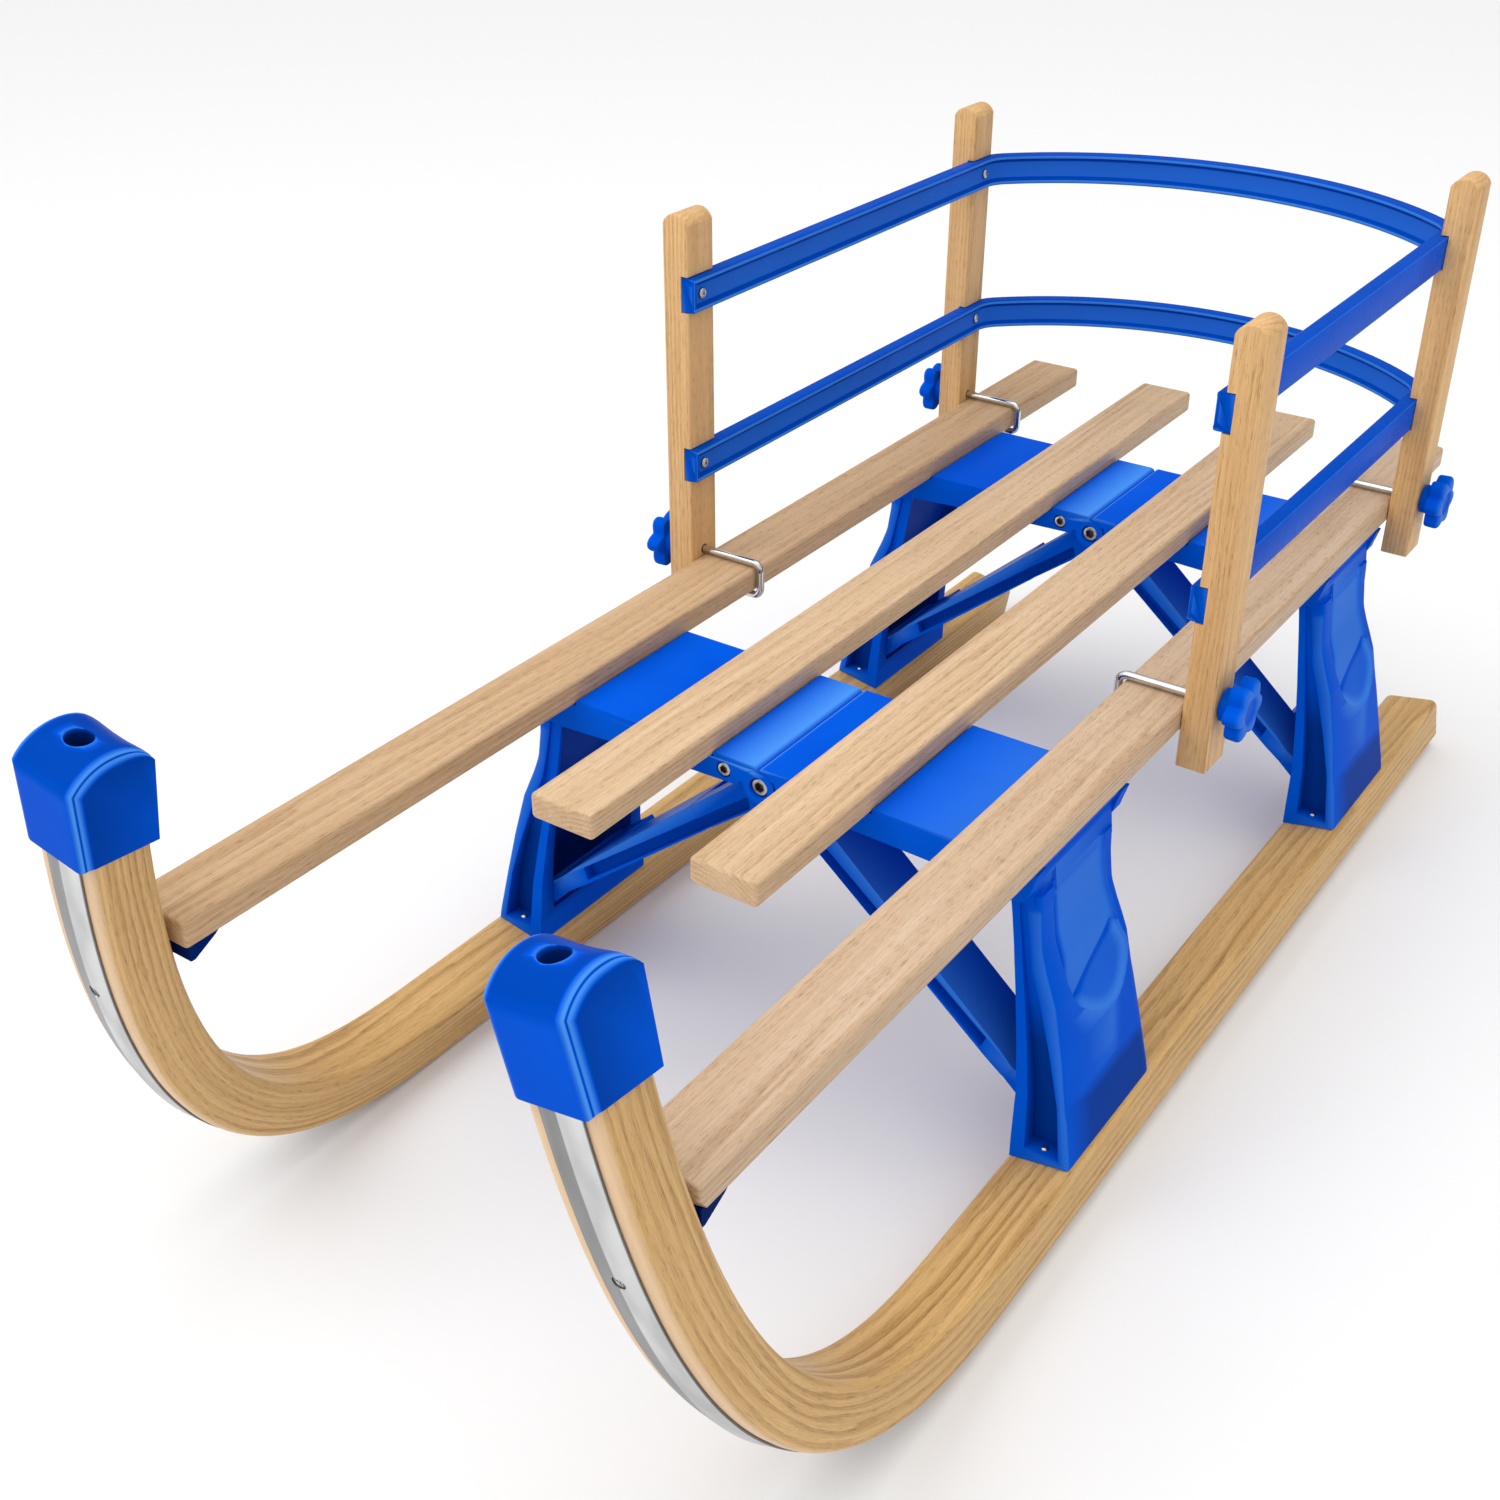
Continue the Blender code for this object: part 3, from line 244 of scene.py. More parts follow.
def plastic(name, colour, deep, rough, grain=1.0):
    """Moulded plastic: satin, with slow waves in its roughness and a fine skin; an attribute paints highlights and
    shade into its colour.
    """
    made, t, shader = material(name)
    at = t.node("ShaderNodeTexCoord").outputs["Object"]
    cloud = t.noise(at, 14.0, 2.0, 0.5)
    skin = t.noise(at, 900.0, 2.0, 0.6)
    scuff = t.noise(t.vmath("MULTIPLY", at, (220.0, 38.0, 130.0)), 1.0, 3.0, 0.65)
    tone = t.range(cloud, 0.3, 0.7)
    # the attribute read here paints light into the colour: positive values are painted highlights in a paler blue on
    # raised edges, negative values painted shade in a darker blue in grooves and hollows
    painted_light = t.node("ShaderNodeAttribute", attribute_name="painted_light").outputs["Fac"]
    pale = tuple(0.13 + 0.87 * c + 0.22 * colour[2] * w for c, w in zip(colour[:3], (-0.30, 0.85, 1.0))) + (1.0,)
    dull = tuple(c * 0.30 for c in deep[:3]) + (1.0,)
    base = t.mix(tone, deep, colour)
    base = t.mix(t.math("MULTIPLY", painted_light, 1.0, clamped=True), base, pale)
    base = t.mix(t.math("MULTIPLY", painted_light, -1.0, clamped=True), base, dull)
    t.put(shader.inputs["Base Color"], base)
    wear_and_painted_light = t.range(scuff, 0.62, 0.74)
    t.put(shader.inputs["Roughness"], t.math("ADD", t.math("MULTIPLY_ADD", cloud, 0.08, rough - 0.04), t.math("MULTIPLY", wear_and_painted_light, 0.05)))
    shader.inputs["Specular IOR Level"].default_value = 0.009
    shader.inputs["Specular Tint"].default_value = (0.45, 0.7, 1.0, 1.0)
    bump = t.node("ShaderNodeBump", inputs={"Strength": 0.06 * grain, "Distance": 0.0002})
    t.put(bump.inputs["Height"], t.math("ADD", skin, t.math("MULTIPLY", cloud, 6.0)))
    t.put(shader.inputs["Normal"], bump.outputs[0])
    return made


def metal(name, colour, rough, spread, stretch, attribute=None, worn=0.0, painted_facet_shade=None):
    """Drawn or rolled metal with fine lines along its length; facet paints shade on the left
    half of a strip and on its rims."""
    made, t, shader = material(name)
    if attribute:
        at = t.node("ShaderNodeAttribute", attribute_name=attribute).outputs["Vector"]
    else:
        at = t.vmath("SCALE", t.node("ShaderNodeTexCoord").outputs["Object"], 1000.0)
    line = t.noise(t.vmath("MULTIPLY", at, stretch), 1.0, 4.0, 0.65)
    cloud = t.noise(t.vmath("MULTIPLY", at, (0.05, 0.02, 0.05)), 1.0, 3.0, 0.55)
    dim = tuple(c * 0.72 for c in colour[:3]) + (1.0,)
    base = t.mix(t.math("MULTIPLY_ADD", t.range(cloud, 0.3, 0.7), 0.6, t.math("MULTIPLY", line, 0.4), clamped=True), dim, colour)
    if painted_facet_shade:
        # painted shade: the left half of the strip and its edges are darkened
        across, along, _ = t.split(at)
        side = t.range(across, -0.5, 0.3, painted_facet_shade, 1.0)
        rim_painted_light = t.range(t.math("ABSOLUTE", across), 10.5, 11.2, 1.0, 0.30)
        waves = t.noise(t.xyz(t.math("MULTIPLY", across, 0.05), t.math("MULTIPLY", along, 0.012), 0.0), 1.0, 2.0)
        base = t.mix(1.0, base, t.math("MULTIPLY", t.math("MULTIPLY", side, rim_painted_light), t.range(waves, 0.3, 0.7, 0.78, 1.08)), "MULTIPLY")
    # an attribute paints shade in near black, in screw recesses and round the edges of screw heads
    painted_shade = t.node("ShaderNodeAttribute", attribute_name="painted_shade").outputs["Fac"]
    base = t.mix(painted_shade, base, (0.035, 0.031, 0.026, 1))
    t.put(shader.inputs["Base Color"], base)
    shader.inputs["Metallic"].default_value = 1.0
    t.put(shader.inputs["Roughness"], t.math("ADD", t.math("MULTIPLY_ADD", line, spread, rough - spread / 2), t.math("MULTIPLY", cloud, worn)))
    bump = t.node("ShaderNodeBump", inputs={"Strength": 0.10, "Distance": 0.0001})
    t.put(bump.inputs["Height"], line)
    t.put(shader.inputs["Normal"], bump.outputs[0])
    return made


BEECH = wood(
    "beech", (0.70, 0.505, 0.325, 1), (0.595, 0.40, 0.230, 1), (0.41, 0.225, 0.095, 1),
    2.9, 0.40, 0.75, 0.66, 9.0, (12.0, -62.0), 0.46,
)
# the two outer slats have darker colours than the inner ones, the left one the darkest
OUTER_BEECH = {
    "left": wood(
        "beech_outer_left", (0.612, 0.418, 0.250, 1), (0.520, 0.331, 0.177, 1), (0.361, 0.188, 0.074, 1),
        2.9, 0.40, 0.75, 0.66, 9.0, (12.0, -62.0), 0.46,
    ),
    "right": wood(
        "beech_outer_right", (0.651, 0.482, 0.338, 1), (0.553, 0.382, 0.239, 1), (0.381, 0.215, 0.099, 1),
        2.9, 0.40, 0.75, 0.66, 9.0, (12.0, -62.0), 0.46,
    ),
}
LAMINATE = wood(
    "laminated_beech", (0.74, 0.475, 0.200, 1), (0.59, 0.352, 0.122, 1), (0.32, 0.150, 0.036, 1),
    4.1, 0.56, 0.70, 0.58, 19.0, (-34.0, -62.0), 0.40,
)
BLUE = plastic("blue_plastic", (0.0, 0.092, 0.66, 1), (0.0, 0.078, 0.60, 1), 0.32)
DARK_BLUE = plastic("dark_blue_plastic", (0.0, 0.018, 0.15, 1), (0.0, 0.014, 0.12, 1), 0.42)
RAIL_BLUE = plastic("blue_rail", (0.0, 0.086, 0.60, 1), (0.0, 0.074, 0.54, 1), 0.27, 0.6)
STEEL = metal("steel_shoe", (0.70, 0.705, 0.71, 1), 0.34, 0.16, (2.2, 0.03, 2.2), "grain", 0.10, 0.42)
CHROME = metal("chromed_wire", (0.72, 0.71, 0.69, 1), 0.10, 0.05, (0.3, 0.3, 0.3))
ZINC = metal("zinc_screw", (0.64, 0.64, 0.65, 1), 0.30, 0.12, (1.2, 1.2, 1.2))
DARK_STEEL = metal("screw_recess", (0.16, 0.15, 0.14, 1), 0.45, 0.1, (1.0, 1.0, 1.0))


# ---- geometry helpers (millimetres, working heights) ----------------------
pieces = bpy.data.collections.new("sled_looks")
bpy.context.scene.collection.children.link(pieces)


def link(name, mesh, mat=None):
    obj = bpy.data.objects.new(name, mesh)
    mesh.name = name
    pieces.objects.link(obj)
    if mat is not None:
        mesh.materials.clear()
        mesh.materials.append(mat)
    return obj


def solid(name, verts, faces, mat=None):
    """An object from points in millimetres."""
    mesh = bpy.data.meshes.new(name)
    mesh.from_pydata([(x * MM, y * MM, z * MM) for x, y, z in verts], [], faces)
    bm = bmesh.new()
    bm.from_mesh(mesh)
    bmesh.ops.recalc_face_normals(bm, faces=bm.faces)
    bm.to_mesh(mesh)
    bm.free()
    return link(name, mesh, mat)


def loft(name, rings, mat=None, cyclic=True, caps=True):
    n = len(rings[0])
    verts = [p for ring in rings for p in ring]
    faces = []
    for i in range(len(rings) - 1):
        for j in range(n if cyclic else n - 1):
            k = (j + 1) % n
            faces.append((i * n + j, i * n + k, (i + 1) * n + k, (i + 1) * n + j))
    if caps:
        faces.append(tuple(reversed(range(n))))
        faces.append(tuple((len(rings) - 1) * n + j for j in range(n)))
    return solid(name, verts, faces, mat)


def slab(name, points, across, span, mat=None):
    a, b = span
    if across == "y":
        rings = [[(x, y, z) for x, z in points] for y in (a, b)]
    else:
        rings = [[(x, y, z) for y, z in points] for x in (a, b)]
    return loft(name, rings, mat)


def block(name, x, y, z, mat=None):
    return slab(name, [(min(x), min(z)), (max(x), min(z)), (max(x), max(z)), (min(x), max(z))], "y", (min(y), max(y)), mat)


def rod(name, start, end, radius, mat=None, sides=32, rings=None):
    """A round bar; rings gives (share of the length, radius) pairs."""
    a, b = Vector(start), Vector(end)
    run = (b - a).normalized()
    side = run.orthogonal().normalized()
    up = run.cross(side)
    rows = []
    for f, r in rings or ((0.0, radius), (1.0, radius)):
        c = a.lerp(b, f)
        rows.append([tuple(c + side * (r * math.cos(2 * math.pi * i / sides)) + up * (r * math.sin(2 * math.pi * i / sides))) for i in range(sides)])
    return loft(name, rows, mat)


def apply(obj):
    """Keeps the result of the object's modifiers as its mesh."""
    graph = bpy.context.evaluated_depsgraph_get()
    bpy.context.view_layer.update()
    mesh = bpy.data.meshes.new_from_object(obj.evaluated_get(graph))
    old = obj.data
    obj.modifiers.clear()
    obj.data = mesh
    bpy.data.meshes.remove(old)
    return obj


def combine(obj, others, how):
    for other in others:
        step = obj.modifiers.new("b", "BOOLEAN")
        step.operation = how
        step.solver = "EXACT"
        step.object = other
    apply(obj)
    for other in others:
        mesh = other.data
        bpy.data.objects.remove(other)
        bpy.data.meshes.remove(mesh)
    return obj


def cut(obj, *others):
    return combine(obj, others, "DIFFERENCE")


def join(obj, *others):
    return combine(obj, others, "UNION")


def gather(obj, others):
    """Takes other closed shapes into the object as they are."""
    bm = bmesh.new()
    bm.from_mesh(obj.data)
    for other in others:
        bm.from_mesh(other.data)
    bm.to_mesh(obj.data)
    bm.free()
    for other in others:
        mesh = other.data
        bpy.data.objects.remove(other)
        bpy.data.meshes.remove(mesh)
    return obj


def tidy(obj, angle=1.0):
    """Welds, and merges the faces that lie in one plane."""
    bm = bmesh.new()
    bm.from_mesh(obj.data)
    bmesh.ops.remove_doubles(bm, verts=bm.verts, dist=2e-6)
    bmesh.ops.dissolve_limit(bm, angle_limit=math.radians(angle), verts=bm.verts, edges=bm.edges)
    bmesh.ops.dissolve_degenerate(bm, dist=2e-6, edges=bm.edges)
    bm.to_mesh(obj.data)
    bm.free()
    return obj


def soften(obj, width, segments=2, angle=28.0):
    """Rounds the sharp edges."""
    step = obj.modifiers.new("edges", "BEVEL")
    step.width = width * MM
    step.segments = segments
    step.limit_method = "ANGLE"
    step.angle_limit = math.radians(angle)
    step.use_clamp_overlap = True
    step.harden_normals = True
    step.miter_outer = "MITER_ARC"
    shade(obj, 180)
    return apply(obj)


def shade(obj, angle=40.0):
    obj.data.shade_smooth()
    if angle < 180:
        obj.data.set_sharp_from_angle(angle=math.radians(angle))
    return obj


def put(obj, body, *nodes, mat_slot=None):
    """Lifts the piece to the ground frame, rides it and hides what it stands for."""
    obj.data.transform(Matrix.Translation((0, 0, LIFT * MM)))
    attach(obj, body)
    if nodes:
        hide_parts(*nodes)
    return obj


def grain(obj, rule, name="grain"):
    """Stores rule(x, y, z) in millimetres on each vertex."""
    mesh = obj.data
    data = mesh.attributes.get(name) or mesh.attributes.new(name, "FLOAT_VECTOR", "POINT")
    values = []
    for vertex in mesh.vertices:
        values.extend(rule(*(c / MM for c in vertex.co)))
    data.data.foreach_set("vector", values)
    return obj


def shift(seed):
    """A steady offset for one piece's figure."""
    pick = random.Random(seed)
    return pick.uniform(-400, 400), pick.uniform(-3000, 3000), pick.uniform(-6, 6)


def mark(obj, name, rule):
    """Stores rule(x, y, z) in millimetres, one number, on each vertex."""
    mesh = obj.data
    data = mesh.attributes.get(name) or mesh.attributes.new(name, "FLOAT", "POINT")
    data.data.foreach_set("value", [rule(*(c / MM for c in vertex.co)) for vertex in mesh.vertices])
    return obj


def carry(obj, points, values, name, reach=0.6):
    """Gives each vertex the value of the nearest point, nothing beyond reach."""
    tree = kdtree.KDTree(len(points))
    for i, p in enumerate(points):
        tree.insert(p, i)
    tree.balance()

    def rule(*at):
        _, i, gap = tree.find(at)
        return values[i] if gap <= reach else 0.0

    return mark(obj, name, rule)


def arc(centre, radius, start, end, steps):
    out = []
    for i in range(steps + 1):
        a = math.radians(start + (end - start) * i / steps)
        out.append((centre[0] + radius * math.cos(a), centre[1] + radius * math.sin(a)))
    return out


def rounded(points, radii, steps=5):
    """A closed outline with its corners rounded."""
    out = []
    n = len(points)
    for i, (p, r) in enumerate(zip(points, radii)):
        p = Vector(p)
        a, b = Vector(points[i - 1]) - p, Vector(points[(i + 1) % n]) - p
        if r <= 0:
            out.append(tuple(p))
            continue
        half = a.angle(b) / 2
        reach = min(r / math.tan(half), a.length * 0.49, b.length * 0.49)
        r2 = reach * math.tan(half)
        a.normalize()
        b.normalize()
        centre = p + (a + b).normalized() * (r2 / math.sin(half))
        p1, p2 = p + a * reach - centre, p + b * reach - centre
        turn = p1.angle_signed(p2)
        for k in range(steps + 1):
            q = p1.copy()
            q.rotate(Matrix.Rotation(-turn * k / steps, 2))
            out.append(tuple(centre + q))
    return out


def canted(side):
    """From the runner's own frame to the sled."""
    return Matrix.Translation((side * RUNNER_X * MM, 0, RUNNER_Z * MM)) @ Matrix.Rotation(-side * CANT, 4, "Y")


# ---- runner, shoe ---------------------------------------------------------
def bend(t, offset=0.0):
    p0 = Vector((Y(BEND_START), RUNNER_MID))
    p3 = Vector((Y(NOSE_STATION), NOSE_TOP))
    p1 = p0 + Vector((-BEND_REACH, 0))
    p2 = p3 - Vector((-math.cos(NOSE_LEAN), math.sin(NOSE_LEAN))) * NOSE_REACH
    s = 1 - t
    point = p0 * s**3 + p1 * (3 * s * s * t) + p2 * (3 * s * t * t) + p3 * t**3
    slope = (p1 - p0) * (3 * s * s) + (p2 - p1) * (6 * s * t) + (p3 - p2) * (3 * t * t)
    slope.normalize()
    return point + Vector((slope.y, -slope.x)) * offset, slope


def centreline(rear, top=None, offset=0.0, flat=18, steps=72):
    """(y, v, direction, distance) from the rear end to the nose."""
    out = []
    y0, y1 = Y(rear), Y(BEND_START)
    for i in range(flat):
        out.append((Vector((y0 + (y1 - y0) * i / flat, RUNNER_MID)), Vector((-1.0, 0.0))))
    for i in range(steps + 1):
        point, slope = bend(i / steps)
        if top is not None:
            edge = point + Vector((slope.y, -slope.x)) * offset
            if edge.y > top:
                last, last_slope = out[-1]
                last_edge = last + Vector((last_slope.y, -last_slope.x)) * offset
                f = (top - last_edge.y) / (edge.y - last_edge.y)
                out.append((last.lerp(point, f), last_slope.lerp(slope, f).normalized()))
                break
        out.append((point, slope))
    rows, s = [], 0.0
    for i, (p, d) in enumerate(out):
        if i:
            s += (p - out[i - 1][0]).length
        rows.append((p, d, s))
    return rows


def sweep(name, rows, section, mat, scale=None):
    """Carries (u, h) points along the runner's line; keeps (u, s, h) as grain."""
    rings, marks = [], []
    for i, (p, d, s) in enumerate(rows):
        normal = Vector((d.y, -d.x))       # towards the seat on the flat
        k = scale[i] if scale else (1.0, 1.0)
        ring = []
        for u, h in section:
            q = p + normal * (h * k[1])
            ring.append((u * k[0], q.x, q.y))
            marks.append((u, s, h))
        rings.append(ring)
    obj = loft(name, rings, mat)
    data = obj.data.attributes.new("grain", "FLOAT_VECTOR", "POINT")
    data.data.foreach_set("vector", [c for m in marks for c in m])
    return obj


def runner(hand, side):
    corner = 5.4
    w, h = RUNNER_W / 2, RUNNER_T / 2
    section = rounded([(-w, -h), (w, -h), (w, h), (-w, h)], [corner] * 4, 6)
    # the long sides get points of their own, so the figure stays true
    rows = centreline(RUNNER_END)
    ends = []
    for back in (0.25, 0.8, 1.7, 3.0):
        ends.append((Vector((Y(RUNNER_END) - back, RUNNER_MID)), Vector((-1.0, 0.0)), back))
    rows = [rows[0]] + ends + rows[1:]
    scale = []
    for i in range(len(rows)):
        inset = {0: 3.0, 1: 1.8, 2: 0.85, 3: 0.25}.get(i, 0.0)
        scale.append(((w - inset) / w, (h - inset) / h))
    obj = sweep(f"look_runner_{hand}", rows, section, LAMINATE, scale)
    shade(obj, 50)
    du, ds, dv = shift("runner" + hand)
    values = np.zeros(len(obj.data.vertices) * 3)
    obj.data.attributes["grain"].data.foreach_get("vector", values)
    values = values.reshape(-1, 3) * (side, 1, 1) + (du * 0.02, ds, dv)
    obj.data.attributes["grain"].data.foreach_set("vector", values.ravel())
    obj.data.transform(canted(side))
    # the underside beside the shoe is painted lighter and plain, partly the face of a single layer, partly a painted
    # highlight
    lamella_and_highlight = obj.data.attributes.new("warm", "FLOAT", "POINT")
    lamella_and_highlight.data.foreach_set("value", [smooth(b + h, 0.2, 3.2) - 1.0 for _ in rows for a, b in section])
    put(obj, f"runner_{hand}", f"runner_{hand}", mat_slot="laminated_beech")

    # the shoe: a crowned strip of steel with a ridge along the middle
    lift = h + GAP
    half = SHOE_W / 2
    line = [(-half, 0.0), (-half, -SHOE_EDGE + 0.25), (-half + 0.25, -SHOE_EDGE)]
    line += [(-SHOE_FLAT - 0.5, -SHOE_CROWN + 0.12), (-SHOE_FLAT * 0.4, -SHOE_CROWN)]
    line = line + [(-a, b) for a, b in reversed(line)]
    section = [(a, b - lift) for a, b in line]
    rows = centreline(RUNNER_END - 9, CAP_BOTTOM - 1.0, -lift)
    shoe = sweep(f"look_shoe_{hand}", rows, section, STEEL)
    shade(shoe, 5)
    marks = np.zeros(len(shoe.data.vertices) * 3)
    shoe.data.attributes["grain"].data.foreach_get("vector", marks)
    return shoe, [tuple(v.co / MM) for v in shoe.data.vertices], marks.reshape(-1, 3)


def countersunk(name, centre, inward, r, depth, mat, recess_mat):
    """A countersunk head with a cross recess, its face a little below flush."""
    n = Vector(inward).normalized()
    c = Vector(centre)
    head = rod(name, c, c + n * depth, r, mat, 28, ((0.0, r), (0.12, r), (0.95, r * 0.45), (1.0, r * 0.45)))
    side = n.orthogonal().normalized()
    other = n.cross(side)
    cutters = []
    for a, b in ((side, other), (other, side)):
        rings = []
        for d, k in ((-0.3, 1.0), (r * 0.5, 0.35)):
            p = c + n * d
            la, lb = r * 0.62 * k, r * 0.15
            rings.append([tuple(p + a * la + b * lb), tuple(p - a * la + b * lb), tuple(p - a * la - b * lb), tuple(p + a * la - b * lb)])
        cutters.append(loft(name + "_cut", rings))
    cut(head, *cutters)
    tidy(head)
    shade(head, 30)

    # painted shade: dark in the cross recess and round the edge of the head
    def paint_shade(x, y, z):
        p = Vector((x, y, z)) - c
        deep = p.dot(n)
        wide = (p - n * deep).length
        return 0.9 if deep > 0.3 and wide < r * 0.66 else (0.8 if wide > r * 0.93 else 0.0)

    mark(head, "painted_shade", paint_shade)
    return head


for hand, side in SIDES.items():
    shoe, shoe_points, shoe_marks = runner(hand, side)
    lift = RUNNER_T / 2 + GAP
    # the screw wells, as in the frame
    lo, hi = 0.0, 1.0
    for _ in range(50):
        mid = (lo + hi) / 2
        if bend(mid, -lift)[0].y < SHOE_SCREW_Z:
            lo = mid
        else:
            hi = mid
    for place in ("front", "rear"):
        if place == "front":
            p, q = bend(lo, -lift)[0], bend(lo)[0]
        else:
            p, q = Vector((Y(RUNNER_END - 60), RUNNER_MID - lift)), Vector((Y(RUNNER_END - 60), RUNNER_MID))
        n = Vector((0, q.x - p.x, q.y - p.y)).normalized()
        at = Vector((0, p.x, p.y))
        well = rod("well", at - n * 5, at + n * 1.7, 3.4, None, 28, ((0.0, 4.6), (0.30, 3.9), (0.42, 3.4), (1.0, 3.4)))
        cut(shoe, well)
        head = countersunk(f"look_shoe_screw_{place}_{hand}", at - n * (SHOE_CROWN - 1.0), n, 3.0, 3.2, ZINC, DARK_STEEL)
        head.data.transform(canted(side))
        put(head, f"runner_{hand}", f"shoe_screw_{place}_{hand}", mat_slot="zinc_screw")
    shade(shoe, 5)
    near = kdtree.KDTree(len(shoe_points))
    for i, p in enumerate(shoe_points):
        near.insert(p, i)
    near.balance()
    grain(shoe, lambda x, y, z: (x, shoe_marks[near.find((x, y, z))[1]][1], 0.0))
    shoe.data.transform(canted(side))
    put(shoe, f"runner_{hand}", f"steel_shoe_{hand}", mat_slot="steel_shoe")


# ---- nose caps ------------------------------------------------------------
def cap_outline(inset, corner=0.0, steps=26):
    """The cap's side outline, set in along its front and top; corner lifts its front foot."""
    chord = CAP_BACK - NOSE_FRONT
    sag = CAP_TOP - (CAP_SHOULDER + CAP_REAR_SHOULDER) / 2
    r = (chord**2 / 4 + sag**2) / (2 * sag)
    c = Vector(((Y(NOSE_FRONT) + Y(CAP_BACK)) / 2, CAP_TOP - r))
    front_low, front_top = Vector((Y(CAP_FRONT), CAP_BOTTOM)), Vector((Y(NOSE_FRONT), CAP_SHOULDER))
    back_top, back_low = Vector((Y(CAP_BACK), CAP_REAR_SHOULDER)), Vector((Y(CAP_BACK), CAP_BOTTOM))
    a0 = math.atan2(front_top.y - c.y, front_top.x - c.x)
    a1 = math.atan2(back_top.y - c.y, back_top.x - c.x)
    lean = (front_top - front_low).normalized()
    out = []
    inner = r - inset
    # front line, moved back square to itself; the back stays almost where it is
    n = Vector((lean.y, -lean.x))
    f0 = front_low + n * inset
    f1 = front_top + n * inset
    # where the front line meets the smaller arc
    d = f0 - c
    b = d.dot(lean)
    t = -b + math.sqrt(max(b * b - (d.dot(d) - inner * inner), 0.0))
    meet = f0 + lean * t
    s0 = math.atan2(meet.y - c.y, meet.x - c.x)
    x_back = Y(CAP_BACK) - min(inset, 0.5)
    s1 = math.acos(clamp((x_back - c.x) / (r - 0.15 * inset), -1, 1))
    f0.y = CAP_BOTTOM
    f0 = f0.lerp(meet, corner / (meet.y - CAP_BOTTOM))
    for i in range(9):
        out.append(tuple(f0.lerp(meet, i / 8)))
    for i in range(1, steps):
        a = s0 + (s1 - s0) * i / steps
        here = r - inset * (1 - 0.85 * smooth(i / steps, 0.5, 1.0))
        out.append((c.x + here * math.cos(a), c.y + here * math.sin(a)))
    top_back = Vector((x_back, c.y + (r - 0.15 * inset) * math.sin(s1)))
    low_back = Vector((x_back, CAP_BOTTOM))
    for i in range(9):
        out.append(tuple(top_back.lerp(low_back, i / 8)))
    return out


def nose_cap(hand, side):
    w = CAP_W / 2
    # (set in, u): a broad rounded band, a fine groove, a second bead, the side face
    layers = [(0.0, 15.0), (0.06, 15.9), (0.22, 16.9), (0.55, 17.9), (1.0, 18.7), (1.5, 19.3), (1.9, 19.6), (2.35, 19.75),
              (2.6, 20.1), (3.0, 20.8), (3.6, 21.4), (4.3, 21.9), (5.0, w), (6.0, w)]
    # painted light per layer: painted highlights on the broad band and the second bead, painted shade in the groove
    # and on the side face
    layer_painted_light = [0.0, 0.0, 0.08, 0.32, 0.75, 0.75, -0.25, -0.25, 0.60, 0.60, 0.28, 0.02, -0.52, -0.52]

    def foot(u):
        return 3.4 * smooth(u, 17.0, w)

    rings = [[(-u, y, v) for y, v in cap_outline(d, foot(u))] for d, u in reversed(layers)]
    for u in (-12.0, -6.0, 0.0, 6.0, 12.0):
        rings.append([(u, y, v) for y, v in cap_outline(0.0)])
    rings += [[(u, y, v) for y, v in cap_outline(d, foot(u))] for d, u in layers]
    # the top dips a little round the rope hole
    dipped = []
    for ring in rings:
        new = []
        for u, y, v in ring:
            back = smooth(y, Y(24.0), Y(CAP_BACK))
            near = 1 - smooth(abs(u), 3.0, 17.0)
            if v > CAP_REAR_SHOULDER - 8:
                v -= 1.1 * back * near * smooth(v, CAP_REAR_SHOULDER - 8, CAP_REAR_SHOULDER)
            new.append((u, y, v))
        dipped.append(new)
    cap = loft(f"look_cap_{hand}", dipped, BLUE)
    ring_painted_light = list(reversed(layer_painted_light)) + [0.0] * 5 + layer_painted_light
    points = [p for ring in dipped for p in ring]
    # the layer values fade out at the back; points without one get painted shade towards the top
    painted_light_values = []
    for value, ring in zip(ring_painted_light, dipped):
        for i, (u, y, v) in enumerate(ring):
            behind = 1 - smooth(y, Y(CAP_BACK) - 2.0, Y(CAP_BACK) - 0.8)
            painted_light_values.append(value * behind if value else -0.50 * smooth(v, CAP_SHOULDER - 6.0, CAP_SHOULDER + 4.0))
    inside = RUNNER_T / 2 + 2 * GAP
    low = 13 / 14
    near = [bend(low, -inside)[0], bend(1.0, -inside)[0] + Vector((0, 3 * GAP))]
    far = [bend(low, inside)[0], bend(1.0, inside)[0] + Vector((0, 3 * GAP))]
    room = slab("room", [tuple(p) for p in near] + [tuple(p) for p in reversed(far)], "x", (-RUNNER_W / 2 - GAP, RUNNER_W / 2 + GAP))
    y = Y(CAP_APEX)
    down = rod("down", (0, y, CAP_TOP + 3.0), (0, y, CAP_TOP - 19.0), 6.25, None, 40,
               ((0.0, 10.2), (0.10, 7.9), (0.155, 6.9), (0.20, 6.4), (0.28, 6.25), (1.0, 6.25)))
    out = rod("out", (0, y, CAP_TOP - 20.5), (0, Y(CAP_BACK + 5.0), CAP_TOP - 24.0), 5.25, None, 28)
    cut(cap, room, down, out)
    assert len(cap.data.vertices) > 400, "the nose cap was lost"
    shade(cap, 52)
    carry(cap, points, painted_light_values, "painted_light", 0.3)
    # round the rope hole: painted shade inside it, a painted highlight on its edge and painted shade round that
    rim_painted_light = cap.data.attributes["painted_light"].data
    for i, vertex in enumerate(cap.data.vertices):
        u, py, v = (c / MM for c in vertex.co)
        around = math.hypot(u, py - y)
        if around < 6.6:
            rim_painted_light[i].value = -1.0 if v < CAP_TOP - 2.0 else -0.6
        elif around < 7.3 and v > CAP_TOP - 6.0:
            rim_painted_light[i].value = 0.35
        elif around < 9.5 and v > CAP_TOP - 6.0:
            rim_painted_light[i].value = -0.35
    cap.data.transform(canted(side))
    put(cap, f"runner_{hand}", f"nose_cap_{hand}", mat_slot="blue_plastic")


for hand, side in SIDES.items():
    nose_cap(hand, side)


